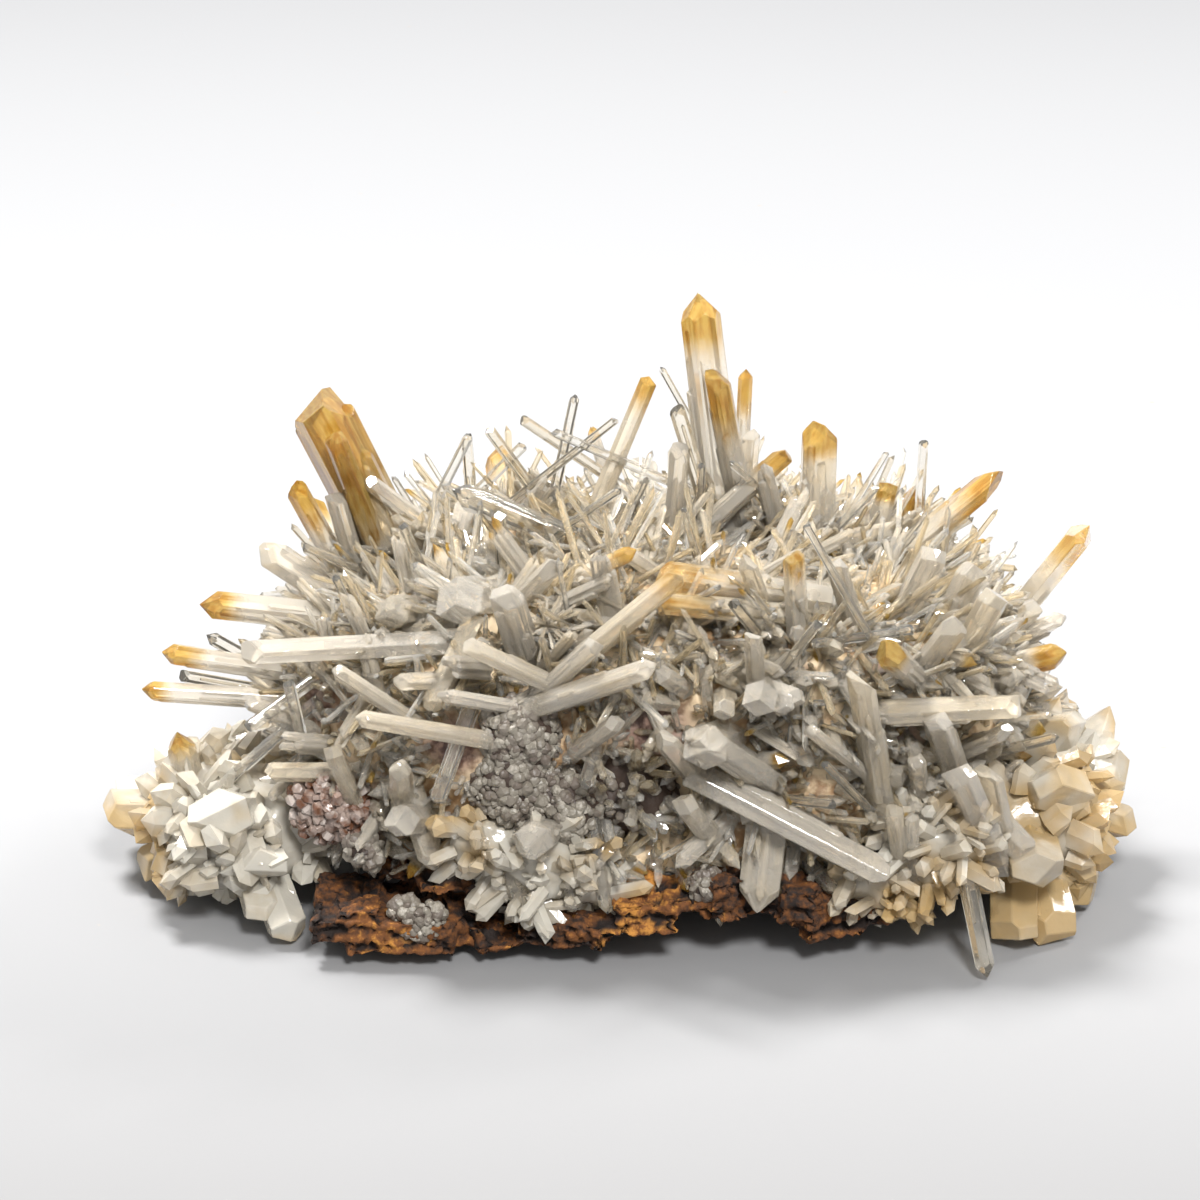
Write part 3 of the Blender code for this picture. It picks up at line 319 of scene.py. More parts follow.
# How far from its tip a crystal's mango colour reaches.
STAIN_REACHES = {
    "mango_big_left": 0.0200,
    "mango_second_left": 0.0085,
    "mango_tall": 0.0100,
    "mango_tall_side": 0.0070,
    "mango_left_of_tall": 0.0065,
    "mango_leaf": 0.0120,
    "mango_right": 0.0085,
    "mango_centre_right": 0.0042,
    "mango_pair": 0.0150,
    "mango_diagonal": 0.0090,
    "mango_left_lower": 0.0036,
    "mango_low_left": 0.0040,
    "mango_back_right": 0.0036,
}
STAIN_USUAL = 0.0055

# Crystals whose stain stays pale: how far along its fade it begins at the tip.
STAIN_PALE = {
    "mango_pair": 0.70,
    "mango_diagonal": 0.74,
    "mango_leaf": 0.48,
    "mango_right": 0.34,
    "mango_tall": 0.28,
    "mango_left_of_tall": 0.45,
    "mango_second_left": 0.38,
    "mango_twin": 0.22,
    "mango_stub": 0.60,
    "mango_inner_left": 0.50,
}
NO_STAIN = 9.0
SMALL_STAIN = 0.0022

# Thin crystals that run along a large one, where it is fibrous and where it is plain, and crystals
# that lie side by side in a bundle.
FIBROUS_STRANDS = 12
PLAIN_STRANDS = 4
BUNDLE_STRANDS = 7

# How far in from an edge its bevel begins.
BEVEL = 0.00013

# The hollow in the front, and the grey druse that lines it and climbs beside it: pixel of each
# lump, its radius, and how far behind the quartz's face its middle lies.
HOLLOW_PIXEL = (622, 812)
HOLLOW_HALF = Vector((0.0110, 0.0080, 0.0078))
DRUSE_SPOTS = (
    ((520, 745), 0.0056, 0.0030),
    ((512, 790), 0.0060, 0.0032),
    ((562, 812), 0.0050, 0.0028),
    ((630, 812), 0.0072, 0.0075),
)

# Grey knobs that sit on the ironstone's front: pixel, radius and depth.
ROCK_KNOBS = (
    ((424, 922), 0.0024, -0.0345),
    ((402, 908), 0.0018, -0.0340),
    ((366, 850), 0.0022, -0.0300),
    ((706, 885), 0.0022, -0.0330),
)

# The bed's underside slopes from its left end to its right end.
UNDERSIDE_LEFT = Vector((-0.045, 0, 0.0140))
UNDERSIDE_RIGHT = Vector((0.055, 0, 0.0050))

# The ground that the needles grow from lies this far inside the bed's outline. They radiate from
# this many centres, and on the bed's top they keep this share of their rise.
GROUND_DROP = 0.0034
SPRAYS = 110
TOP_FLATTEN = 0.12

# Lumps of small crystals on the front: pixel of the middle, half sizes and how far back it lies.
PURPLE_LUMP = ((338, 812), Vector((0.0056, 0.0036, 0.0042)), 0.0020)
WHITE_LUMPS = (
    ((490, 848), Vector((0.0052, 0.0038, 0.0034)), 0.0022),
    ((540, 872), Vector((0.0062, 0.0042, 0.0050)), 0.0026),
    ((590, 885), Vector((0.0036, 0.0030, 0.0036)), 0.0020),
    ((884, 886), Vector((0.0060, 0.0042, 0.0034)), 0.0024),
    ((940, 850), Vector((0.0060, 0.0042, 0.0050)), 0.0024),
)

# Where the ground shows dark between the crystals: pixel and radius. Fewer crystals grow there, and the
# ground is painted near black purple brown, as painted shade of the crevices.
DARK_PATCHES = (
    ((338, 812), 0.0050),
    ((905, 648), 0.0042),
    ((908, 742), 0.0040),
    ((300, 702), 0.0042),
    ((655, 735), 0.0046),
    ((800, 742), 0.0034),
    ((448, 745), 0.0036),
)

# A ball of fine needles that radiate from one point of the front.
SPRAY_PIXEL = (547, 622)
SPRAY_NEEDLES = 46
SPRAY_LENGTH = (0.0030, 0.0056)
SPRAY_WIDTH = (0.00028, 0.00050)

# Values that are stored on the points of every crystal.
POINT_VALUES = ("shade", "stain")

# How the large crystals are finished: how much light passes through them, their roughness, how
# strong their clouds are, and the colour and density of what a clear one absorbs.
Finish = namedtuple("Finish", "name through rough cloud absorption")
CRYSTAL_FINISHES = (
    Finish("clear_quartz", 0.94, 0.03, 0.40, ((0.97, 0.94, 0.87), 40.0)),
    Finish("milky_quartz", 0.76, 0.06, 0.50, None),
    Finish("mango_quartz", 0.72, 0.08, 0.45, None),
)
QUARTZ_IOR = 1.544

# Veils are measured in millimetres along a crystal, and moved this far across it times its shade,
# so that no two crystals have the same ones.
VEIL_UNITS = 1000
VEIL_SHIFT = (40, 70)

# The ironstone's wear: the thickness of its ledges, the size of its lumps and of its rough grain,
# and how deep it is worn at most.
LEDGE_SCALE = 0.0024
LUMP_SCALE = 0.0040
ROUGH_SCALE = 0.0013
WEAR_DEPTH = 0.0024
MOST_WORN = 1.2

# Small crystals keep this far inside the box of the solids, and this far above the ground.
BOX_MARGIN = 0.0003
GROUND_MARGIN = 0.0012

# The studio: its lights by name, place, size and power, and the strength of the light all round.
LIGHTS = (
    ("key_light", (-0.30, 0.22, 0.90), 0.24, 18.0),
    ("fill_light", (0.15, -0.64, 0.74), 0.20, 10.2),
    ("rim_light", (0.55, 0.35, 0.55), 0.16, 4.0),
)
LIGHT_AROUND = 0.72
FLOOR_HALF = 2.5


def length_value(name, description, default):
    """A length that a user would change."""
    return FloatProperty(name=name, description=description, default=default, unit="LENGTH")


def colour_value(name, description, default):
    """A colour that a user would change."""
    return FloatVectorProperty(
        name=name, description=description, default=default, subtype="COLOR", size=3
    )


def density_value(name, things, default):
    """How many of something a user would have."""
    return FloatProperty(name=name, description=f"{things} on a square centimetre", default=default)


class QuartzSizes(PropertyGroup):
    """Sizes of what grows on the cluster."""

    needle_length: length_value("Needle length", "Longest needle", 0.0125)
    needle_width: length_value("Needle width", "Thickest needle", 0.00118)
    needle_density: density_value("Needle density", "Needles", 40.0)
    spike_length: length_value("Spike length", "Longest short crystal", 0.0050)
    spike_width: length_value("Spike width", "Thickest short crystal", 0.0014)
    spike_density: density_value("Spike density", "Short crystals", 54.0)
    stub_length: length_value("Stub length", "Longest milky stub", 0.0095)
    stub_width: length_value("Stub width", "Thickest milky stub", 0.0031)
    stub_density: density_value("Stub density", "Milky stubs", 9.0)
    bundle_density: density_value("Bundle density", "Fibrous bundles", 3.4)
    knob_size: length_value("Knob size", "Largest druse knob across", 0.0021)
    rock_grain: length_value("Rock grain", "Spacing of the rock's faces", 0.00042)
    seed: IntProperty(name="Seed", description="Start of every random choice", default=4)


class QuartzColours(PropertyGroup):
    """Colours of the minerals and of the studio."""

    clear: colour_value("Clear quartz", "Colour of clear needles", (0.99, 0.955, 0.88))
    milky: colour_value("Milky quartz", "Colour of milky crystals", (0.96, 0.89, 0.77))
    cream: colour_value("Cream quartz", "Colour of the veils in a crystal", (0.91, 0.775, 0.54))
    beige: colour_value("Beige quartz", "Colour of the ground between the crystals", (0.72, 0.57, 0.37))
    mango: colour_value("Mango", "Colour of the stained tips", (0.80, 0.53, 0.130))
    amber: colour_value("Amber", "Colour of the deepest stain", (0.56, 0.27, 0.036))
    rust: colour_value("Rust", "Colour of the ironstone's faces", (0.17, 0.059, 0.012))
    # The ironstone's own dark tone, which also paints the shade in its pits.
    dark_rust_and_pit_shade: colour_value("Dark rust", "Colour of the ironstone's pits", (0.014, 0.007, 0.0045))
    druse: colour_value("Grey druse", "Colour of the small knobs", (0.21, 0.188, 0.152))


class Signal:
    """A node's output that can stand in a Python expression."""

    def __init__(self, maker, socket):
        self.maker = maker
        self.socket = socket

    def math(self, operation, *others):
        return self.maker.add(
            "ShaderNodeMath", {"operation": operation}, dict(enumerate((self, *others)))
        )

    def __add__(self, other):
        return self.math("ADD", other)

    def __radd__(self, other):
        return self.math("ADD", other)

    def __sub__(self, other):
        return self.math("SUBTRACT", other)

    def __rsub__(self, other):
        return self.maker.add("ShaderNodeMath", {"operation": "SUBTRACT"}, {0: other, 1: self})

    def __mul__(self, other):
        return self.math("MULTIPLY", other)

    def __truediv__(self, other):
        return self.math("DIVIDE", other)

    def clamped(self):
        return self.math("MINIMUM", 1.0).math("MAXIMUM", 0.0)

    def between(self, low, high):
        """0 below low, 1 above high, and a smooth rise from one to the other."""
        return self.maker.add(
            "ShaderNodeMapRange",
            {"interpolation_type": "SMOOTHSTEP"},
            {"Value": self, "From Min": low, "From Max": high},
        )

    def mix(self, first, second):
        """The first colour where this is 0 and the second where it is 1."""
        return self.maker.add(
            "ShaderNodeMix",
            {"data_type": "RGBA"},
            {"Factor": self, "A": self.maker.colour(first), "B": self.maker.colour(second)},
        )


class Maker:
    """Adds nodes to one tree."""

    def __init__(self, tree):
        self.tree = tree

    def add(self, kind, settings=None, sockets=None, out=0):
        node = self.tree.nodes.new(kind)
        for key, value in (settings or {}).items():
            setattr(node, key, value)
        live = [socket for socket in node.inputs if socket.enabled]
        for key, value in (sockets or {}).items():
            named = [socket for socket in live if socket.name == key]
            socket = live[key] if isinstance(key, int) else named[0]
            if isinstance(value, Signal):
                self.tree.links.new(value.socket, socket)
            else:
                socket.default_value = value
        outputs = [socket for socket in node.outputs if socket.enabled]
        if isinstance(out, str):
            return Signal(self, node.outputs[out])
        return Signal(self, outputs[out]) if outputs else node

    @staticmethod
    def colour(value):
        return value if isinstance(value, Signal) else (*value[:3], 1)

    def noise(self, vector, scale, detail=3.0, roughness=0.55):
        return self.add(
            "ShaderNodeTexNoise",
            sockets={"Vector": vector, "Scale": scale, "Detail": detail, "Roughness": roughness},
        )

    def attribute(self, name, out="Fac"):
        return self.add("ShaderNodeAttribute", {"attribute_name": name}, out=out)

    def stretched(self, vector, scale):
        return self.add(
            "ShaderNodeVectorMath", {"operation": "MULTIPLY"}, {0: vector, 1: scale}, out="Vector"
        )

    def bump(self, height, strength, distance):
        return self.add(
            "ShaderNodeBump", sockets={"Height": height, "Strength": strength, "Distance": distance}
        )


def new_finish(name):
    """A material with an empty tree, and its maker."""
    material = bpy.data.materials.new(name)
    material.use_nodes = True
    material.node_tree.nodes.clear()
    return material, Maker(material.node_tree)


def close_finish(maker, sockets, absorption=None):
    """The surface shader and the output, with an absorption inside the piece where one is given."""
    surface = maker.add("ShaderNodeBsdfPrincipled", sockets=sockets)
    ends = {"Surface": surface}
    if absorption:
        colour, density = absorption
        ends["Volume"] = maker.add(
            "ShaderNodeVolumeAbsorption", sockets={"Color": maker.colour(colour), "Density": density}
        )
    maker.add("ShaderNodeOutputMaterial", sockets=ends)


def crystal_finish(finish, pale):
    """Quartz: clouds and lengthwise veils, with the mango stain from where it begins to the tip."""
    colours = bpy.context.scene.quartz_colours
    material, maker = new_finish(finish.name)
    place = maker.add("ShaderNodeTexCoord", out="Object")
    inside = maker.attribute("inside", "Vector")
    shade = maker.attribute("shade")
    clouds = maker.noise(place, 230.0, 3.0)
    veils = maker.noise(maker.stretched(inside, (1.3, 1.3, 0.14)), 1.0, 3.0, 0.6)
    dim = (clouds * 0.7 + veils * 0.3 + shade * 0.34 - 0.17).between(0.40, 0.70)
    body = (dim * finish.cloud).mix(pale, colours.cream)
    reach = maker.attribute("stain") + (clouds - 0.5) * 0.8 + (veils - 0.5) * 0.6
    stained = 1 - reach.between(0.55, 1.20)
    deep = 1 - (veils * 0.6 + clouds * 0.4).between(0.38, 0.58)
    mango = (deep * stained * stained).mix(colours.mango, colours.amber)
    steps = maker.noise(maker.stretched(inside, (0.25, 0.25, 2.6)), 1.0, 2.0)
    close_finish(
        maker,
        {
            "Base Color": stained.mix(body, mango),
            "Roughness": (finish.rough + (clouds - 0.4) * 0.20 + stained * 0.08).clamped(),
            "Transmission Weight": finish.through,
            "IOR": QUARTZ_IOR,
            "Normal": maker.bump(steps * 0.5 + veils * 0.5, 0.4, 0.00012),
        },
        finish.absorption,
    )


def needle_finish():
    """Thin clear needles, some a little creamy, some with a stained tip."""
    colours = bpy.context.scene.quartz_colours
    material, maker = new_finish("needle_quartz")
    veils = maker.noise(maker.stretched(maker.attribute("inside", "Vector"), (1.0, 1.0, 0.2)), 1.0, 1.0)
    shade = maker.attribute("shade")
    cream = (veils * 0.5 + shade * 0.5).between(0.30, 0.75).mix(colours.clear, colours.cream)
    stained = 1 - maker.attribute("stain").between(0.40, 1.10)
    close_finish(
        maker,
        {
            "Base Color": stained.mix(cream, colours.mango),
            "Roughness": 0.03,
            "Transmission Weight": 0.84,
            "IOR": QUARTZ_IOR,
        },
    )


def mass_finish():
    """Milky quartz in blocks: waxy, with broad yellow stains."""
    colours = bpy.context.scene.quartz_colours
    material, maker = new_finish("mass_quartz")
    place = maker.add("ShaderNodeTexCoord", out="Object")
    broad = maker.noise(place, 62.0, 3.0)
    fine = maker.noise(place, 420.0, 3.0)
    pale = (fine * 0.5 + maker.attribute("shade") * 0.3).between(0.30, 0.62)
    body = pale.mix((0.90, 0.85, 0.74), (0.78, 0.68, 0.52))
    across = maker.add("ShaderNodeSeparateXYZ", sockets={"Vector": place}, out="X")
    right = across.between(0.035, 0.065)
    body = ((broad + right * 0.10).between(0.45, 0.62) * 0.80).mix(body, (0.72, 0.48, 0.17))
    close_finish(
        maker,
        {
            "Base Color": body,
            "Roughness": 0.10 + fine * 0.22,
            "Transmission Weight": 0.58,
            "IOR": QUARTZ_IOR,
            "Normal": maker.bump(fine, 0.45, 0.00035),
        },
    )


def ground_finish():
    """The quartz between the crystals: beige with brown by noise, and painted shade of near black purple
    brown in the dark patches of its crevices.
    """
    colours = bpy.context.scene.quartz_colours
    material, maker = new_finish("quartz_ground")
    place = maker.add("ShaderNodeTexCoord", out="Object")
    broad = maker.noise(place, 90.0, 5.0)
    fine = maker.noise(place, 700.0, 4.0)
    # Painted shade: the near black purple brown of the dark patches in the crevices.
    purple = (0.075, 0.036, 0.028)
    brown = (0.31, 0.18, 0.085)
    base = (broad * 0.6 + fine * 0.4).between(0.40, 0.56).mix(brown, colours.beige)
    # The 'purple' value is the painted shade of the dark patches.
    base = maker.attribute("purple").mix(base, fine.between(0.4, 0.6).mix(purple, (0.27, 0.17, 0.13)))
    close_finish(
        maker,
        {
            "Base Color": base,
            "Roughness": 0.35 + fine * 0.35,
            "Normal": maker.bump(fine, 0.8, 0.0004),
        },
    )
    return material


def purple_finish():
    """A purple brown crust, with painted highlights: some of its points are pale for their sparkle."""
    material, maker = new_finish("purple_crust")
    place = maker.add("ShaderNodeTexCoord", out="Object")
    broad = maker.noise(place, 330.0, 4.0)
    shade = maker.attribute("shade")
    base = broad.between(0.42, 0.56).mix((0.15, 0.065, 0.035), (0.33, 0.25, 0.21))
    # Painted highlight: a pale colour on some points stands in for sparkle.
    base = (shade * 0.6 + broad * 0.4).between(0.60, 0.80).mix(base, (0.50, 0.43, 0.385))
    close_finish(
        maker,
        {
            "Base Color": base,
            "Roughness": 0.10 + broad * 0.30,
            "Transmission Weight": 0.15,
            "IOR": QUARTZ_IOR,
            "Normal": maker.bump(maker.noise(place, 1800.0, 2.0), 0.5, 0.0002),
        },
    )
    return material


def druse_finish():
    """Grey knobs with painted highlights, pale speckles and paler knobs for their sparkle, on a ground
    painted near black as shade between them.
    """
    colours = bpy.context.scene.quartz_colours
    material, maker = new_finish("druse_grey")
    place = maker.add("ShaderNodeTexCoord", out="Object")
    broad = maker.noise(place, 180.0, 4.0)
    fine = maker.noise(place, 2200.0, 2.0)
    shade = maker.attribute("shade")
    base = (broad * 0.6 + shade * 0.4).between(0.30, 0.60).mix((0.13, 0.105, 0.085), colours.druse)
    # Painted highlight: pale speckles and some paler knobs stand in for sparkle.
    base = (fine * 0.5 + shade * 0.5).between(0.60, 0.85).mix(base, (0.43, 0.39, 0.33))
    # Painted shade: the ground between the knobs, whose shade is 0, is painted near black.
    base = shade.between(0.0, 0.03).mix((0.045, 0.028, 0.020), base)
    close_finish(
        maker,
        {
            "Base Color": base,
            "Roughness": 0.22 + fine * 0.45,
            "Normal": maker.bump(fine, 0.6, 0.0002),
        },
    )
    return material


def rust_finish():
    """Ironstone: rust and ochre on its edges, with its own dark rust in patches, and painted shade near
    black in its pits.
    """
    colours = bpy.context.scene.quartz_colours
    material, maker = new_finish("ironstone")
    place = maker.add("ShaderNodeTexCoord", out="Object")
    broad = maker.noise(place, 85.0, 5.0, 0.6)
    fine = maker.noise(place, 750.0, 5.0, 0.65)
    pit = maker.attribute("pit")
    ochre = (0.46, 0.20, 0.036)
    base = (broad * 0.55 + fine * 0.45).between(0.40, 0.56).mix(colours.dark_rust_and_pit_shade, colours.rust)
    base = (fine * 0.5 + broad * 0.5).between(0.54, 0.62).mix(base, ochre)
    # Painted shade: the deeper a spot is worn, the nearer black it is painted.
    base = pit.between(0.18, 0.62).mix(base, colours.dark_rust_and_pit_shade)
    close_finish(
        maker,
        {
            "Base Color": base,
            "Roughness": 0.75 + fine * 0.2,
            "Normal": maker.bump(fine, 1.0, 0.0005),
        },
    )
    return material


def floor_finish():
    """A plain floor, darker in front than behind: painted shade where the light falls off towards the
    front.
    """
    material, maker = new_finish("studio_floor")
    place = maker.add("ShaderNodeTexCoord", out="Object")
    back = maker.add("ShaderNodeSeparateXYZ", sockets={"Vector": place}, out="Y").between(-0.24, 0.06)
    specks = maker.noise(place, 210.0, 1.0).between(0.80, 0.83)
    # Painted shade: the floor is painted darker towards the front, where the light falls off.
    plain = back.mix((0.128, 0.124, 0.120), (0.280, 0.280, 0.284))
    close_finish(
        maker,
        {
            "Base Color": specks.mix(plain, (0.30, 0.27, 0.24)),
            "Roughness": 0.85,
        },
    )
    return material


def seen_at(pixel, depth):
    """The point that a pixel of the front view shows where it lies at this depth."""
    sine = math.sin(VIEW_TILT)
    cosine = math.cos(VIEW_TILT)
    rise = (VIEW_MIDDLE - pixel[1]) / VIEW_FOCAL
    height = (rise * (VIEW_DISTANCE + depth * cosine) - depth * sine) / (cosine + rise * sine)
    away = VIEW_DISTANCE + depth * cosine - height * sine
    return Vector(((pixel[0] - VIEW_MIDDLE) / VIEW_FOCAL * away, depth, height + VIEW_HEIGHT))


def fullness(blob, point):
    """Below 1 inside a blob, 1 on its surface and more outside."""
    offset = point - blob.centre
    return sum(abs(offset[i] / blob.half[i]) ** blob.power for i in range(3))


def blob_reach(blob, ray):
    """How far a blob reaches from its middle along a ray."""
    return sum(abs(ray[i] / blob.half[i]) ** blob.power for i in range(3)) ** (-1 / blob.power)


def in_quartz(point):
    return min(fullness(blob, point) for blob in (BED, LEFT_MASS, RIGHT_MASS, RIGHT_FOOT, MATRIX)) < 1


def front_point(pixel):
    """The first point of the quartz that a pixel of the front view meets."""
    depth = SEARCH_FROM
    while depth < SEARCH_TO:
        point = seen_at(pixel, depth)
        if in_quartz(point):
            return point
        depth += SEARCH_STEP
    raise ValueError(f"pixel {pixel} misses the quartz, so its crystal needs a depth")


def rooted(tip, foot):
    """Moves a foot back along its crystal until it is set in the quartz."""
    step = (foot - tip).normalized() * SEARCH_STEP
    for _ in range(80):
        if in_quartz(foot):
            return foot + step.normalized() * ROOT_SET
        foot = foot + step
    raise ValueError(f"the crystal with its tip at {tip} never meets the quartz")


def ends_of(row):
    """Tip and root of a crystal that was read in the front view."""
    foot = front_point(row.foot) if row.depth is None else seen_at(row.foot, row.depth)
    tip = seen_at(row.tip, foot.y + row.lean)
    return tip, rooted(tip, foot)


def end_faces(form, half, chance):
    """The planes that cut a crystal's end: bearing, lean of the normal, and drop below the tip."""
    sixths = [math.radians(30 + 60 * k) for k in range(6)]
    if form == "point":
        return [(a, RHOMB, half * chance.uniform(0.0, 0.30)) for a in sixths]
    if form == "chisel":
        drops = (0.0, -0.75, -0.45, 0.10, -0.70, -0.35)
        return [(a, RHOMB, half * (d + chance.uniform(0, 0.15))) for a, d in zip(sixths, drops)]
    if form == "blunt":
        sides = [(a, math.radians(40), half * chance.uniform(-0.15, 0.40)) for a in sixths[::2]]
        return sides + [(chance.uniform(0, 6), math.radians(12), half * 0.12)]
    if form == "rounded":
        outer = [(a, math.radians(58), half * chance.uniform(-0.45, -0.30)) for a in sixths[::2]]
        inner = [(a + 0.9, math.radians(28), half * chance.uniform(0.0, 0.10)) for a in sixths[::2]]
        return outer + inner
    bearings = [chance.uniform(0, math.tau) for _ in range(3)]
    leans = [math.radians(d) for d in (14, 40, 58)]
    drops = (half * 0.25, half * 0.15, half * -0.35)
    return list(zip(bearings, leans, drops))


def cut_off(mesh, point, normal):
    """Cuts away what lies past a plane, and closes the cut."""
    geometry = mesh.verts[:] + mesh.edges[:] + mesh.faces[:]
    cut = bmesh.ops.bisect_plane(
        mesh, geom=geometry, plane_co=point, plane_no=normal, clear_outer=True
    )
    rim = [item for item in cut["geom_cut"] if isinstance(item, bmesh.types.BMEdge)]
    if len(rim) > 2:
        bmesh.ops.contextual_create(mesh, geom=rim)


def axes_along(direction, roll):
    """A turn that takes +Z to a direction, rolled about it."""
    return direction.to_track_quat("Z", "Y").to_matrix().to_4x4() @ Matrix.Rotation(roll, 4, "Z")


def crystal_shape(tip, root, width, form="point", flat=1.0, seed=0, bevel=BEVEL):
    """A six-sided crystal from root to tip, still standing at the origin, and where it goes."""
    chance = random.Random(seed)
    length = (tip - root).length
    half = width / 2
    reach = length + 2 * half
    mesh = bmesh.new()
    bmesh.ops.create_cone(
        mesh, cap_ends=True, segments=6, radius1=half, radius2=half * TAPER, depth=reach
    )
    bmesh.ops.translate(mesh, vec=(0, 0, reach / 2), verts=mesh.verts)
    for vertex in mesh.verts:
        vertex.co.x *= 1 + chance.uniform(-0.07, 0.07)
    roll = chance.uniform(-0.35, 0.35)
    bmesh.ops.scale(mesh, vec=(1, flat, 1), verts=mesh.verts)
    for bearing, lean, drop in end_faces(form, half, chance):
        across = math.sin(lean)
        normal = Vector(
            (math.cos(bearing) * across, math.sin(bearing) * across / max(flat, 0.4), math.cos(lean))
        ).normalized()
        cut_off(mesh, Vector((0, 0, length - drop)), normal)
    if bevel:
        bmesh.ops.bevel(
            mesh, geom=mesh.edges[:], offset=bevel, segments=1, profile=0.5, affect="EDGES",
            clamp_overlap=True,
        )
    bmesh.ops.recalc_face_normals(mesh, faces=mesh.faces)
    return mesh, Matrix.Translation(root) @ axes_along(tip - root, roll)


class Heap:
    """Many small shapes gathered into one mesh, with the values that their finish reads."""

    def __init__(self):
        self.points = []
        self.faces = []
        self.inside = []
        self.values = {name: [] for name in POINT_VALUES}

    def add(self, mesh, place, axes, length, shade, reach, pale):
        """Adds a shape that is put in place, measured along the axes of the crystal it is part of.
        Its mango colour reaches this far from that crystal's tip, or it has none."""
        first = len(self.points)
        mesh.verts.index_update()
        back = axes.inverted()
        for vertex in mesh.verts:
            point = place @ vertex.co
            local = back @ point
            self.points.append(point - MIDDLE)
            aside = Vector((shade * VEIL_SHIFT[0], shade * VEIL_SHIFT[1], 0))
            self.inside.append(local * VEIL_UNITS + aside)
            self.values["shade"].append(shade)
            along = max(pale, (length - local.z) / reach) if reach else NO_STAIN
            self.values["stain"].append(along)
        self.faces.extend([first + vertex.index for vertex in face.verts] for face in mesh.faces)
        mesh.free()

    def finish(self, name):
        data = bpy.data.meshes.new(name)
        data.from_pydata(self.points, [], self.faces)
        store(data, "inside", self.inside)
        for key, values in self.values.items():
            store(data, key, values)
        piece = bpy.data.objects.new(name, data)
        bpy.context.scene.collection.objects.link(piece)
        return piece


def store(data, name, values):
    """Keeps one number or vector on each point of a mesh."""
    numbers = np.array([tuple(v) if isinstance(v, Vector) else v for v in values], np.float32)
    wide = numbers.ndim == 2
    kept = data.attributes.new(name, "FLOAT_VECTOR" if wide else "FLOAT", "POINT")
    kept.data.foreach_set("vector" if wide else "value", numbers.ravel())


def add_crystal(heap, tip, root, width, form, flat, seed, reach, strands, pale=0.0):
    """One large crystal with the thin ones that run along it."""
    chance = random.Random(seed + 500)
    shade = chance.random()
    length = (tip - root).length
    mesh, axes = crystal_shape(tip, root, width, form, flat, seed)
    heap.add(mesh, axes, axes, length, shade, reach, pale)
    for number in range(strands):
        bearing = chance.uniform(0, math.tau)
        out = width / 2 * chance.uniform(0.50, 0.78)
        aside = Vector((math.cos(bearing) * out, math.sin(bearing) * out * flat, 0))
        thin = width * chance.uniform(0.16, 0.36)
        low = length * chance.uniform(0.15, 0.45)
        high = length * chance.uniform(0.50, 0.90)
        spread = chance.uniform(0.98, 1.12)
        top = axes @ (aside * spread + Vector((0, 0, high)))
        bottom = axes @ (aside + Vector((0, 0, low)))
        shape = ("point", "blunt", "chisel")[number % 3]
        strand, place = crystal_shape(top, bottom, thin, shape, 0.8, seed * 31 + number, BEVEL / 2)
        heap.add(strand, place, axes, length, shade, reach, pale)


def crystal_rows():
    """Every large crystal: its row, tip, root and seed."""
    found = []
    for number, row in enumerate(MANGO_CRYSTALS + MILKY_CRYSTALS + CLEAR_CRYSTALS):
        found.append((row, *ends_of(row), number))
    for number, row in enumerate(BACK_CRYSTALS):
        tip = Vector(row.tip)
        heart = Vector((tip.x * 0.72, tip.y * 0.30, tip.z * 0.45 + 0.004))
        found.append((row, tip, rooted(tip, tip.lerp(heart, 0.1)), 100 + number))
    return found


def dress(piece, material, slot, *nodes):
    """Gives a finished piece its material, its body and the solids it stands for."""
    piece.data.materials.clear()
    piece.data.materials.append(material)
    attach(piece, "root")
    if nodes:
        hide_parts(*nodes)


def make_crystals(family, material, slot):
    """One detailed piece for each large crystal of a family."""
    rows = [row for row in crystal_rows() if row[0].node.startswith(family)]
    for node in dict.fromkeys(row[0].node for row in rows):
        heap = Heap()
        for row, tip, root, seed in rows:
            if row.node != node:
                continue
            reach = STAIN_REACHES.get(node, STAIN_USUAL) if family == "mango" else 0
            fibrous = row.form in ("broken", "rounded") and family != "clear"
            strands = FIBROUS_STRANDS if fibrous else PLAIN_STRANDS
            if family == "clear":
                strands = 1
            pale = STAIN_PALE.get(node, 0.0)
            add_crystal(heap, tip, root, row.width, row.form, row.flat, seed, reach, strands, pale)
        dress(heap.finish(f"{node}_crystal"), material, slot, node)


def kind_shape(share, flat, seed):
    """A small crystal one unit wide and one unit long, whose point takes this share of its length."""
    chance = random.Random(seed)
    mesh = bmesh.new()
    bmesh.ops.create_cone(
        mesh, cap_ends=True, segments=6, radius1=0.5, radius2=0.5 * TAPER, depth=1 - share
    )
    bmesh.ops.translate(mesh, vec=(0, 0, (1 - share) / 2), verts=mesh.verts)
    top = max(mesh.faces, key=lambda face: face.calc_center_median().z)
    shoulder = list(top.verts)
    apex = bmesh.ops.poke(mesh, faces=[top], offset=share)["verts"][0]
    apex.co.x += chance.uniform(-0.22, 0.22)
    apex.co.y += chance.uniform(-0.22, 0.22)
    for vertex in shoulder:
        vertex.co.z += share * chance.uniform(-0.5, 0.4)
    for vertex in mesh.verts:
        vertex.co.y *= flat
        vertex.co.x *= 1 + chance.uniform(-0.10, 0.10)
    return mesh


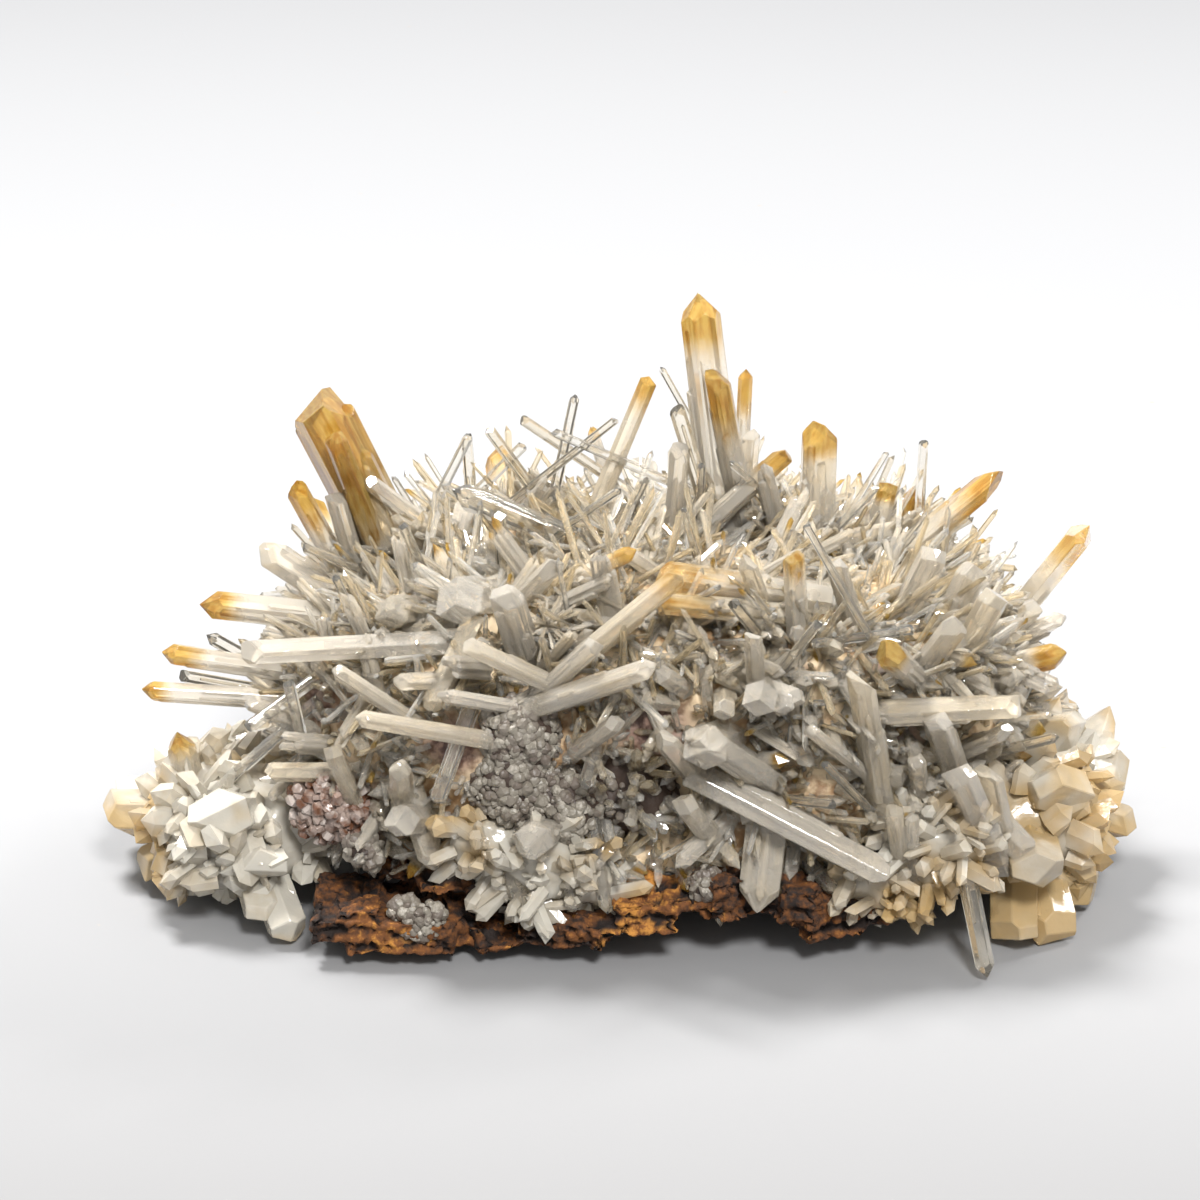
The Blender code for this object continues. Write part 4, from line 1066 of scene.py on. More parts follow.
def bundle_shape(seed):
    """A bundle of crystals side by side, one unit long and about one unit across."""
    chance = random.Random(seed)
    whole = bmesh.new()
    for number in range(BUNDLE_STRANDS):
        part = kind_shape(chance.uniform(0.04, 0.10), chance.uniform(0.6, 1.0), seed * 10 + number)
        across = chance.uniform(0.26, 0.46)
        bmesh.ops.scale(part, vec=(across, across, chance.uniform(0.55, 1.0)), verts=part.verts)
        bearing = chance.uniform(0, math.tau)
        out = chance.uniform(0.10, 0.34)
        tilt = Matrix.Rotation(chance.uniform(-0.035, 0.035), 3, "X")
        bmesh.ops.rotate(part, cent=(0, 0, 0), matrix=tilt, verts=part.verts)
        aside = (math.cos(bearing) * out, math.sin(bearing) * out * 0.7, chance.uniform(0, 0.08))
        bmesh.ops.translate(part, vec=aside, verts=part.verts)
        pour(part, whole)
    return whole


def pour(part, whole):
    """Adds one mesh to another and frees it."""
    data = bpy.data.meshes.new("part")
    part.to_mesh(data)
    part.free()
    whole.from_mesh(data)
    bpy.data.meshes.remove(data)


def knob_shape(seed):
    """A rounded knob one unit across, a little uneven."""
    mesh = bmesh.new()
    bmesh.ops.create_icosphere(mesh, subdivisions=2, radius=0.5)
    for vertex in mesh.verts:
        vertex.co *= 1 + 0.25 * noise.noise(vertex.co * 3 + Vector((seed, 0, 0)))
    return mesh


def new_kinds(name, shapes):
    """A collection of small shapes for a growth to choose from."""
    kinds = bpy.data.collections.new(name)
    bpy.context.scene.collection.children.link(kinds)
    for number, mesh in enumerate(shapes):
        data = bpy.data.meshes.new(f"{name}_{number}")
        store_unit_values(mesh, data)
        kinds.objects.link(bpy.data.objects.new(f"{name}_{number}", data))
    return kinds


def crystal_kinds(name, share, flatter, seed, roundest=1.0):
    """Four kinds of small crystal, each flatter than the one before."""
    return new_kinds(name, [kind_shape(share, roundest - flatter * k, seed + k) for k in range(4)])


def store_unit_values(mesh, data):
    """Puts a small shape in its mesh, with the values that its finish is worked out from."""
    points = [vertex.co.copy() for vertex in mesh.verts]
    mesh.to_mesh(data)
    mesh.free()
    store(data, "inside", points)
    store(data, "tip", [point.z for point in points])


def drop_kinds(kinds):
    for piece in list(kinds.objects):
        bpy.data.objects.remove(piece)
    bpy.data.collections.remove(kinds)


GROWTH_INPUTS = (
    ("Kinds", "NodeSocketCollection"),
    ("Weight", "NodeSocketString"),
    ("Density", "NodeSocketFloat"),
    ("Shortest", "NodeSocketFloat"),
    ("Longest", "NodeSocketFloat"),
    ("Thinnest", "NodeSocketFloat"),
    ("Thickest", "NodeSocketFloat"),
    ("Lean", "NodeSocketFloat"),
    ("Stained share", "NodeSocketFloat"),
    ("Seed", "NodeSocketInt"),
    ("Finish", "NodeSocketMaterial"),
)


def growth_tree():
    """Grows small crystals out of a mesh, along its flow, where its weight is high."""
    tree = bpy.data.node_groups.new("quartz_growth", "GeometryNodeTree")
    tree.interface.new_socket("Ground", in_out="INPUT", socket_type="NodeSocketGeometry")
    for name, kind in GROWTH_INPUTS:
        tree.interface.new_socket(name, in_out="INPUT", socket_type=kind)
    tree.interface.new_socket("Grown", in_out="OUTPUT", socket_type="NodeSocketGeometry")
    maker = Maker(tree)
    source = tree.nodes.new("NodeGroupInput")
    given = {socket.name: Signal(maker, socket) for socket in source.outputs if socket.name}

    def named(name, kind="FLOAT"):
        return maker.add("GeometryNodeInputNamedAttribute", {"data_type": kind}, {"Name": name})

    def chance(number, low, high, kind="FLOAT"):
        return maker.add(
            "FunctionNodeRandomValue",
            {"data_type": kind},
            {"Min": low, "Max": high, "Seed": given["Seed"] + number},
        )

    def kept(shape, name, value, kind="FLOAT", domain="INSTANCE"):
        return maker.add(
            "GeometryNodeStoreNamedAttribute",
            {"data_type": kind, "domain": domain},
            {"Geometry": shape, "Name": name, "Value": value},
        )

    points = maker.add(
        "GeometryNodeDistributePointsOnFaces",
        {"distribute_method": "RANDOM"},
        {
            "Mesh": given["Ground"],
            "Density": given["Density"] * named(given["Weight"]),
            "Seed": given["Seed"],
        },
        out="Points",
    )
    upright = maker.add(
        "FunctionNodeAlignRotationToVector", {"axis": "Z"}, {"Vector": named("flow", "FLOAT_VECTOR")}
    )
    lean = maker.add(
        "ShaderNodeCombineXYZ",
        sockets={
            "X": chance(1, -1.0, 1.0) * given["Lean"],
            "Y": chance(2, -1.0, 1.0) * given["Lean"],
            "Z": chance(3, -math.pi, math.pi),
        },
    )
    turned = maker.add(
        "FunctionNodeRotateRotation",
        {"rotation_space": "LOCAL"},
        {"Rotation": upright, "Rotate By": maker.add("FunctionNodeEulerToRotation", None, {0: lean})},
    )
    long = chance(4, 0.0, 1.0).math("POWER", 1.6)
    length = (given["Shortest"] + (given["Longest"] - given["Shortest"]) * long) * named("reach")
    stout = (chance(5, 0.0, 1.0) + long) * 0.5
    width = given["Thinnest"] + (given["Thickest"] - given["Thinnest"]) * stout
    size = maker.add("ShaderNodeCombineXYZ", sockets={"X": width, "Y": width, "Z": length})
    kinds = maker.add(
        "GeometryNodeCollectionInfo",
        None,
        {"Collection": given["Kinds"], "Separate Children": True, "Reset Children": True},
    )
    grown = maker.add(
        "GeometryNodeInstanceOnPoints",
        None,
        {
            "Points": points,
            "Instance": kinds,
            "Pick Instance": True,
            "Instance Index": chance(6, 0, 63, "INT"),
            "Rotation": turned,
            "Scale": size,
        },
    )
    plain = chance(8, 0.0, 1.0).math("GREATER_THAN", given["Stained share"])
    grown = kept(grown, "shade", chance(7, 0.0, 1.0))
    grown = kept(grown, "plain", plain * NO_STAIN)
    grown = kept(grown, "size", size, "FLOAT_VECTOR")
    grown = kept(grown, "number", maker.add("GeometryNodeInputIndex"))
    grown = maker.add("GeometryNodeRealizeInstances", None, {"Geometry": grown})
    shift = maker.add(
        "ShaderNodeCombineXYZ",
        sockets={"X": named("shade") * VEIL_SHIFT[0], "Y": named("shade") * VEIL_SHIFT[1]},
    )
    inside = maker.stretched(named("inside", "FLOAT_VECTOR"), named("size", "FLOAT_VECTOR"))
    inside = maker.stretched(inside, (VEIL_UNITS,) * 3)
    inside = maker.add("ShaderNodeVectorMath", {"operation": "ADD"}, {0: inside, 1: shift}, out="Vector")
    grown = kept(grown, "inside", inside, "FLOAT_VECTOR", "POINT")
    below = (1 - named("tip")) * maker.add(
        "ShaderNodeSeparateXYZ", sockets={"Vector": named("size", "FLOAT_VECTOR")}, out="Z"
    )
    grown = kept(grown, "stain", below / SMALL_STAIN + named("plain"), "FLOAT", "POINT")
    grown = maker.add("GeometryNodeSetMaterial", None, {"Geometry": grown, "Material": given["Finish"]})
    maker.add("NodeGroupOutput", None, {"Grown": grown})
    return tree


# What grows on a ground: the weight that it follows, how many stand on a square centimetre, the
# shortest and the longest, the thinnest and the thickest, how far they lean at most, the share
# with a stained tip, and what is added to the seed.
Growth = namedtuple("Growth", "weight density length width lean stained seed")


def growths(sizes):
    """All that grows, by name."""
    needle = (0.0045, sizes.needle_length), (0.00048, sizes.needle_width)
    spike = (0.0018, sizes.spike_length), (0.0006, sizes.spike_width)
    stub = (0.0045, sizes.stub_length), (0.0014, sizes.stub_width)
    knob = (0.0006, sizes.knob_size), (0.0006, sizes.knob_size)
    return {
        "needle_field": Growth("needles", sizes.needle_density, *needle, 1.10, 0.04, 0),
        "fibrous_bundles": Growth(
            "needles", sizes.bundle_density, (0.0060, 0.0140), (0.0018, 0.0042), 1.0, 0.05, 80
        ),
        "short_spikes": Growth("spikes", sizes.spike_density, *spike, 0.80, 0.03, 20),
        "milky_stubs": Growth("stubs", sizes.stub_density, *stub, 0.50, 0.05, 40),
        "white_sprays": Growth("spikes", 34.0, (0.0016, 0.0062), (0.0008, 0.0030), 0.85, 0.04, 90),
        "purple_glints": Growth("spikes", 110.0, (0.0009, 0.0017), (0.0009, 0.0022), 0.80, 0.0, 95),
        "mass_stubs": Growth("stubs", 17.0, (0.0026, 0.0058), (0.0020, 0.0052), 0.75, 0.0, 0),
        "druse_knobs": Growth("spikes", 170.0, *knob, 0.8, 0.0, 60),
        "recess_crystals": Growth("needles", 42.0, (0.0020, 0.0058), (0.0007, 0.0022), 0.9, 0.0, 66),
    }


# Values that only the growth needs, left out of what it makes.
SPARE_VALUES = (
    "flow", "reach", "size", "number", "needles", "spikes", "stubs", "purple", "tip", "plain",
)


def grow(name, ground, kinds, finish, kept_as=None, seed=0):
    """A plain mesh of what a growth makes on a ground, without what leaves the cluster's box."""
    sizes = bpy.context.scene.quartz_sizes
    row = growths(sizes)[name]
    name = kept_as or name
    tree = bpy.data.node_groups.get("quartz_growth") or growth_tree()
    places = {item.name: item.identifier for item in tree.interface.items_tree if item.in_out == "INPUT"}
    change = ground.modifiers.new("growth", "NODES")
    change.node_group = tree
    values = (
        kinds, row.weight, row.density * 10000, *row.length, *row.width, row.lean, row.stained,
        sizes.seed + row.seed + seed, finish,
    )
    for (socket, _), value in zip(GROWTH_INPUTS, values):
        change[places[socket]] = value
    bpy.context.view_layer.update()
    data = bpy.data.meshes.new_from_object(
        ground.evaluated_get(bpy.context.evaluated_depsgraph_get())
    )
    ground.modifiers.remove(change)
    data.name = name
    trim_to_box(data)
    for spare in SPARE_VALUES:
        found = data.attributes.get(spare)
        if found:
            data.attributes.remove(found)
    piece = bpy.data.objects.new(name, data)
    bpy.context.scene.collection.objects.link(piece)
    return piece


def trim_to_box(data):
    """Leaves out each small crystal that reaches past the box of the CAD model or to the ground."""
    places = np.zeros(len(data.vertices) * 3, np.float32)
    data.vertices.foreach_get("co", places)
    places = places.reshape(-1, 3)
    numbers = np.zeros(len(data.vertices), np.float32)
    data.attributes["number"].data.foreach_get("value", numbers)
    numbers = numbers.astype(int)
    low = np.array(CAD_BOX[0]) + (BOX_MARGIN, BOX_MARGIN, GROUND_MARGIN)
    high = np.array(CAD_BOX[1]) - BOX_MARGIN
    out = ((places < low) | (places > high)).any(axis=1)
    bad = np.zeros(numbers.max() + 1, bool)
    bad[numbers[out]] = True
    mesh = bmesh.new()
    mesh.from_mesh(data)
    doomed = [vertex for vertex, number in zip(mesh.verts, numbers) if bad[number]]
    bmesh.ops.delete(mesh, geom=doomed, context="VERTS")
    mesh.to_mesh(data)
    mesh.free()


def blob_points(blob, divisions, rough, scale, seed, drop=0.0):
    """A rounded body with an uneven surface, as a mesh in the frame's own place."""
    mesh = bmesh.new()
    bmesh.ops.create_icosphere(mesh, subdivisions=divisions, radius=1.0)
    for vertex in mesh.verts:
        ray = vertex.co.normalized()
        size = blob_reach(blob, ray)
        spot = blob.centre + ray * size
        size += rough * noise.noise((spot + Vector((seed, 0, 0))) / scale) - drop
        size += 0.25 * rough * noise.noise(spot / scale * 4)
        vertex.co = blob.centre + ray * size
    return mesh


def ground_object(name, mesh, flows, **weights):
    """A finished ground: its mesh, the direction that crystals grow in, and how thickly."""
    data = bpy.data.meshes.new(name)
    bmesh.ops.translate(mesh, vec=-MIDDLE, verts=mesh.verts)
    bmesh.ops.recalc_face_normals(mesh, faces=mesh.faces)
    mesh.to_mesh(data)
    mesh.free()
    data.shade_smooth()
    store(data, "flow", flows)
    for key, values in weights.items():
        store(data, key, values)
    ground = bpy.data.objects.new(name, data)
    bpy.context.scene.collection.objects.link(ground)
    return ground


def spray_flows(points, blob, sprays, seed):
    """Directions that radiate from scattered centres under a blob's surface."""
    chance = random.Random(seed)
    centres = []
    for _ in range(sprays):
        ray = Vector((chance.gauss(0, 1), chance.gauss(0, 1), chance.gauss(0.3, 1))).normalized()
        size = blob_reach(blob, ray)
        centres.append(blob.centre + ray * size * chance.uniform(0.62, 0.84))
    spots = np.array([tuple(point) for point in points])
    hearts = np.array([tuple(centre) for centre in centres])
    gaps = np.linalg.norm(spots[:, None] - hearts[None], axis=2)
    nearest = hearts[gaps.argmin(axis=1)]
    rays = spots - nearest
    rays /= np.linalg.norm(rays, axis=1, keepdims=True)
    return rays


def smooth_step(value, low, high):
    share = max(0.0, min(1.0, (value - low) / (high - low)))
    return share * share * (3 - 2 * share)


def druse_lumps():
    """The middle and the radius of each lump of druse on the front."""
    return [(front_point(pixel) + Vector((0, back, 0)), size) for pixel, size, back in DRUSE_SPOTS]


def bed_ground():
    """The bed between its crystals, with the hollow pressed into its front."""
    mesh = blob_points(BED, divisions=6, rough=0.0028, scale=0.011, seed=9.0, drop=GROUND_DROP)
    run = UNDERSIDE_RIGHT - UNDERSIDE_LEFT
    hollow = front_point(HOLLOW_PIXEL)
    for vertex in mesh.verts:
        share = (vertex.co.x - UNDERSIDE_LEFT.x) / run.x
        vertex.co.z = max(vertex.co.z, UNDERSIDE_LEFT.z + run.z * share)
        offset = Vector((vertex.co[i] - hollow[i]) / HOLLOW_HALF[i] for i in range(3))
        flat_out = offset.x * offset.x + offset.z * offset.z
        if offset.length < 1 and flat_out < 1:
            vertex.co.y = hollow.y + HOLLOW_HALF.y * math.sqrt(1 - flat_out)
    points = [vertex.co.copy() for vertex in mesh.verts]
    rays = spray_flows(points, BED, SPRAYS, 5)
    druse = druse_lumps()
    patches = [(front_point(pixel), radius) for pixel, radius in DARK_PATCHES]
    flows, needles, spikes, stubs, reaches, crevice_shades = [], [], [], [], [], []
    for point, ray in zip(points, rays):
        top = smooth_step(point.z, 0.030, 0.041)
        ray = Vector(ray)
        ray.z *= 1 - (1 - TOP_FLATTEN) * top
        flows.append(ray.normalized())
        bare = min((point - centre).length / radius for centre, radius in druse)
        dark = min((point - centre).length / radius for centre, radius in patches)
        free = smooth_step(bare, 1.0, 1.35) * (0.12 + 0.88 * smooth_step(dark, 0.7, 1.3))
        under = smooth_step(point.z - UNDERSIDE_LEFT.lerp(UNDERSIDE_RIGHT, 0.5).z, -0.002, 0.004)
        right = smooth_step(point.x, -0.005, 0.020) * (1 - 0.6 * top)
        needles.append(free * (0.45 + 0.55 * top) * under)
        spikes.append(free)
        stubs.append(free * (0.35 + 0.9 * right + 0.4 * smooth_step(point.y, 0.0, 0.02)) * under)
        reaches.append(0.75 + 0.25 * top)
        # Painted shade: how much of the dark patches' near black the ground is painted with.
        crevice_shades.append(1 - smooth_step(dark, 0.8, 1.7))
    return ground_object(
        "quartz_ground", mesh, flows,
        needles=needles, spikes=spikes, stubs=stubs, reach=reaches, purple=crevice_shades,
    )


def make_bed():
    """The quartz bed: its ground, the needle field, short spikes, milky stubs and chosen crystals."""
    clear = bpy.data.materials["clear_quartz"]
    needle = bpy.data.materials["needle_quartz"]
    milky = bpy.data.materials["milky_quartz"]
    ground = bed_ground()
    fine = crystal_kinds("needle_kinds", 0.07, 0.1, 0)
    stout = crystal_kinds("stub_kinds", 0.24, 0.12, 10)
    needles = grow("needle_field", ground, fine, needle)
    sheaves = new_kinds("bundle_kinds", [bundle_shape(k) for k in range(4)])
    bundles = grow("fibrous_bundles", ground, sheaves, milky)
    drop_kinds(sheaves)
    spikes = grow("short_spikes", ground, stout, needle)
    stubs = grow("milky_stubs", ground, stout, milky)
    drop_kinds(fine)
    drop_kinds(stout)
    heap = Heap()
    for number, row in enumerate(SMALL_CRYSTALS):
        tip, root = ends_of(row)
        form = ("point", "blunt", "chisel")[number % 3]
        add_crystal(heap, tip, root, row.width, form, 0.9, 200 + number, 0, 1)
    heaps = {"clear": heap, "milky": Heap()}
    for number, row in enumerate(FRONT_CRYSTALS):
        tip, root = ends_of(row)
        strands = FIBROUS_STRANDS if row.form == "broken" else PLAIN_STRANDS
        strands = 1 if row.kind == "clear" else strands
        add_crystal(
            heaps[row.kind], tip, root, row.width, row.form, row.flat, 300 + number, 0, strands
        )
    add_spray(heaps["milky"])
    dress(ground, ground_finish(), "quartz_bed", "quartz_bed")
    dress(needles, needle, "quartz_bed")
    dress(bundles, milky, "quartz_bed")
    dress(spikes, needle, "quartz_bed")
    dress(stubs, milky, "quartz_bed")
    dress(heaps["clear"].finish("bed_clear_crystals"), clear, "quartz_bed")
    dress(heaps["milky"].finish("bed_milky_crystals"), milky, "quartz_bed")


def add_spray(heap):
    """A ball of fine needles that radiate from one point."""
    chance = random.Random(12)
    middle = front_point(SPRAY_PIXEL) + Vector((0, -0.0010, 0))
    for number in range(SPRAY_NEEDLES):
        ray = Vector((chance.gauss(0, 1), chance.gauss(-0.6, 1), chance.gauss(0, 1))).normalized()
        tip = middle + ray * chance.uniform(*SPRAY_LENGTH)
        width = chance.uniform(*SPRAY_WIDTH)
        add_crystal(heap, tip, middle, width, "point", 1.0, 400 + number, 0, 0)


def lump_ground(name, places, divisions, rough):
    """Rounded lumps on the front, which small crystals grow from."""
    whole = bmesh.new()
    flows = []
    for number, (pixel, half, back) in enumerate(places):
        blob = Blob(front_point(pixel) + Vector((0, back, 0)), half, 2.2)
        part = blob_points(blob, divisions, rough, scale=0.003, seed=number)
        flows.extend((vertex.co - blob.centre).normalized() for vertex in part.verts)
        pour(part, whole)
    count = len(whole.verts)
    return ground_object(
        name, whole, flows, spikes=[1.0] * count, reach=[1.0] * count, shade=[0.5] * count,
        stain=[NO_STAIN] * count, inside=[Vector((0, 0, 0))] * count, purple=[1.0] * count,
    )


def make_lumps():
    """The purple brown sparkling lump and the white sprays that hang over the ironstone."""
    waxy = bpy.data.materials["mass_quartz"]
    purple = purple_finish()
    kinds = crystal_kinds("lump_kinds", 0.20, 0.12, 50)
    whites = lump_ground("white_lumps", WHITE_LUMPS, divisions=4, rough=0.0012)
    spikes = grow("white_sprays", whites, kinds, waxy)
    lump = lump_ground("purple_lump", (PURPLE_LUMP,), divisions=5, rough=0.0010)
    glints = grow("purple_glints", lump, kinds, purple)
    drop_kinds(kinds)
    dress(whites, waxy, "milky_mass")
    dress(spikes, waxy, "milky_mass")
    dress(lump, purple, "quartz_bed")
    dress(glints, purple, "quartz_bed")


def make_mass(name, blob, blocks, seed):
    """A milky mass: blocky crystals that stand out of a rounded heart, with stubs between them."""
    waxy = bpy.data.materials["mass_quartz"]
    chance = random.Random(seed)
    mesh = blob_points(blob, divisions=5, rough=0.0015, scale=0.008, seed=seed, drop=0.0012)
    press_flat(mesh.verts, 0.0004)
    points = [vertex.co.copy() for vertex in mesh.verts]
    flows = [Vector(ray) for ray in spray_flows(points, blob, 14, seed)]
    weights = [1.0 if point.z > 0.001 else 0.0 for point in points]
    ground = ground_object(
        f"{name}_ground", mesh, flows, stubs=weights, reach=[1.0] * len(points),
        tip=[0.0] * len(points), shade=[0.5] * len(points), stain=[NO_STAIN] * len(points),
        inside=[point * VEIL_UNITS for point in points],
    )
    kinds = crystal_kinds("block_kinds", 0.30, 0.13, 30, roundest=0.75)
    stubs = grow("mass_stubs", ground, kinds, waxy, f"{name}_stubs", seed)
    drop_kinds(kinds)
    heap = Heap()
    ends = [(seen_at(row.tip, row.depth), row.width) for row in blocks]
    for number in range(REAR_BLOCKS):
        turn = math.radians(15 + 150 * number / (REAR_BLOCKS - 1))
        ray = Vector((math.cos(turn), math.sin(turn), chance.uniform(-0.35, 0.55)))
        reach = Vector(ray[i] * blob.half[i] * REAR_BLOCK_REACH for i in range(3))
        ends.append((blob.centre + reach, chance.uniform(*REAR_BLOCK_WIDTH)))
    for number, (tip, width) in enumerate(ends):
        root = blob.centre.lerp(tip, 0.15)
        form = ("blunt", "broken")[number % 2]
        flat = chance.uniform(0.55, 0.85)
        add_crystal(heap, tip, root, width, form, flat, seed + number, 0, 6)
    blocks = heap.finish(f"{name}_blocks")
    press_flat(blocks.data.vertices, 0.0003)
    dress(ground, waxy, "milky_mass", name)
    dress(stubs, waxy, "milky_mass")
    dress(blocks, waxy, "milky_mass")


def press_flat(vertices, height):
    """Presses flat what would reach below a height."""
    for vertex in vertices:
        vertex.co.z = max(vertex.co.z, height)


def make_druse():
    """The grey druse: rounded knobs crowded on the walls beside and behind the hollow."""
    grey = druse_finish()
    whole = bmesh.new()
    flows, knobby, pointed = [], [], []
    spots = druse_lumps() + [(seen_at(pixel, depth), size) for pixel, size, depth in ROCK_KNOBS]
    for number, (centre, radius) in enumerate(spots):
        blob = Blob(centre, Vector((radius, radius * 0.8, radius)) * 0.92, 2.0)
        part = blob_points(blob, divisions=4, rough=0.0010, scale=0.003, seed=number)
        rays = [(vertex.co - centre).normalized() for vertex in part.verts]
        recess = number == len(DRUSE_SPOTS) - 1
        flows.extend(rays)
        knobby.extend((0.25 if recess else 1.0) * (ray.y < 0.30) for ray in rays)
        pointed.extend((1.0 if recess else 0.0) * (ray.y < 0.30) for ray in rays)
        pour(part, whole)
    count = len(whole.verts)
    # The ground's shade is 0, which its finish paints near black as the shade between the knobs.
    ground = ground_object(
        "druse_ground", whole, flows,
        spikes=knobby, needles=pointed, reach=[1.0] * count, shade=[0.0] * count,
    )
    kinds = new_kinds("knob_kinds", [knob_shape(k) for k in range(3)])
    knobs = grow("druse_knobs", ground, kinds, grey)
    drop_kinds(kinds)
    needle = bpy.data.materials["needle_quartz"]
    kinds = crystal_kinds("recess_kinds", 0.16, 0.12, 60)
    points = grow("recess_crystals", ground, kinds, needle)
    drop_kinds(kinds)
    dress(points, needle, "grey_druse")
    dress(ground, grey, "grey_druse", "grey_druse")
    dress(knobs, grey, "grey_druse")


def make_matrix():
    """The ironstone: the CAD solid's form, worn into ledges and pits."""
    sizes = bpy.context.scene.quartz_sizes
    data = frame["nodes"]["ironstone_matrix"].data.copy()
    mesh = bmesh.new()
    mesh.from_mesh(data)
    bmesh.ops.remove_doubles(mesh, verts=mesh.verts, dist=0.000001)
    mesh.to_mesh(data)
    mesh.free()
    for spare in list(data.attributes):
        if spare.name not in ("position", "sharp_face") and not spare.is_required:
            if not spare.name.startswith("."):
                data.attributes.remove(spare)
    rock = bpy.data.objects.new("ironstone_rock", data)
    bpy.context.scene.collection.objects.link(rock)
    change = rock.modifiers.new("grain", "REMESH")
    change.mode = "VOXEL"
    change.voxel_size = sizes.rock_grain
    bpy.context.view_layer.update()
    fine = bpy.data.meshes.new_from_object(rock.evaluated_get(bpy.context.evaluated_depsgraph_get()))
    rock.modifiers.clear()
    rock.data = fine
    bpy.data.meshes.remove(data)
    normals = [vertex.normal.copy() for vertex in fine.vertices]
    pits = []
    for vertex, normal in zip(fine.vertices, normals):
        spot = vertex.co
        layered = Vector((spot.x * 0.5, spot.y * 0.5, spot.z * 2.2))
        ledge = noise.noise(layered / LEDGE_SCALE)
        lumps = noise.noise(spot / LUMP_SCALE + Vector((3, 0, 0)))
        rough = noise.fractal(spot / ROUGH_SCALE, 0.6, 2.2, 3)
        sunk = 0.9 * max(0.0, ledge + 0.05) + 0.6 * max(0.0, lumps) + 0.6 * max(0.0, rough + 0.1)
        sunk *= smooth_step(spot.z, 0.0004, 0.0020)
        # How deeply each spot is worn, which the finish paints as shade in the pits.
        pits.append(min(1.0, sunk * 1.1))
        vertex.co = spot - normal * min(sunk, MOST_WORN) * WEAR_DEPTH
    store(fine, "pit", pits)
    press_flat(fine.vertices, 0.0)
    fine.shade_smooth()
    dress(rock, rust_finish(), "ironstone_matrix", "ironstone_matrix")


class QUARTZ_OT_stage(Operator):
    """Makes the floor, the soft light and the camera at the front view."""

    bl_idname = "quartz.stage"
    bl_label = "Stage"

    def execute(self, context):
        scene = context.scene
        mesh = bmesh.new()
        bmesh.ops.create_grid(mesh, x_segments=4, y_segments=4, size=FLOOR_HALF)
        data = bpy.data.meshes.new("studio_floor")
        mesh.to_mesh(data)
        mesh.free()
        floor = bpy.data.objects.new("studio_floor", data)
        data.materials.append(floor_finish())
        scene.collection.objects.link(floor)
        world = bpy.data.worlds.new("studio")
        world.use_nodes = True
        world.node_tree.nodes["Background"].inputs["Color"].default_value = (1.0, 1.0, 1.0, 1)
        world.node_tree.nodes["Background"].inputs["Strength"].default_value = LIGHT_AROUND
        scene.world = world
        target = Vector((0, 0, VIEW_HEIGHT)) - MIDDLE
        for name, place, size, power in LIGHTS:
            light = bpy.data.lights.new(name, "AREA")
            light.size = size
            light.energy = power
            lamp = bpy.data.objects.new(name, light)
            lamp.location = place
            lamp.rotation_euler = (target - Vector(place)).to_track_quat("-Z", "Y").to_euler()
            scene.collection.objects.link(lamp)
        camera = bpy.data.cameras.new("front_camera")
        camera.sensor_width = 36.0
        camera.lens = camera.sensor_width * VIEW_FOCAL / (2 * VIEW_MIDDLE)
        camera.clip_start = 0.01
        eye = bpy.data.objects.new("front_camera", camera)
        away = Vector((0, -math.cos(VIEW_TILT), math.sin(VIEW_TILT)))
        eye.location = target + away * VIEW_DISTANCE
        eye.rotation_euler = (math.pi / 2 - VIEW_TILT, 0, 0)
        scene.collection.objects.link(eye)
        scene.camera = eye
        scene.view_settings.view_transform = "Standard"
        scene.cycles.max_bounces = 8
        scene.cycles.transmission_bounces = 8
        scene.cycles.diffuse_bounces = 2
        scene.cycles.glossy_bounces = 2
        return {"FINISHED"}


class QUARTZ_OT_finishes(Operator):
    """Mixes the quartz materials that several pieces share."""

    bl_idname = "quartz.finishes"
    bl_label = "Quartz finishes"

    def execute(self, context):
        colours = context.scene.quartz_colours
        for finish in CRYSTAL_FINISHES:
            crystal_finish(finish, colours.clear if finish.absorption else colours.milky)
        needle_finish()
        mass_finish()
        return {"FINISHED"}


class QUARTZ_OT_mango_crystals(Operator):
    """Makes the large crystals with mango yellow tips."""

    bl_idname = "quartz.mango_crystals"
    bl_label = "Mango crystals"

    def execute(self, context):
        make_crystals("mango", bpy.data.materials["mango_quartz"], "mango_crystal")
        return {"FINISHED"}


class QUARTZ_OT_milky_crystals(Operator):
    """Makes the large milky crystals."""

    bl_idname = "quartz.milky_crystals"
    bl_label = "Milky crystals"

    def execute(self, context):
        make_crystals("milky", bpy.data.materials["milky_quartz"], "milky_crystal")
        return {"FINISHED"}


class QUARTZ_OT_clear_crystals(Operator):
    """Makes the large clear crystals."""

    bl_idname = "quartz.clear_crystals"
    bl_label = "Clear crystals"

    def execute(self, context):
        make_crystals("clear", bpy.data.materials["clear_quartz"], "clear_crystal")
        return {"FINISHED"}


class QUARTZ_OT_bed(Operator):
    """Makes the quartz bed with its needle field."""

    bl_idname = "quartz.bed"
    bl_label = "Quartz bed"

    def execute(self, context):
        make_bed()
        return {"FINISHED"}


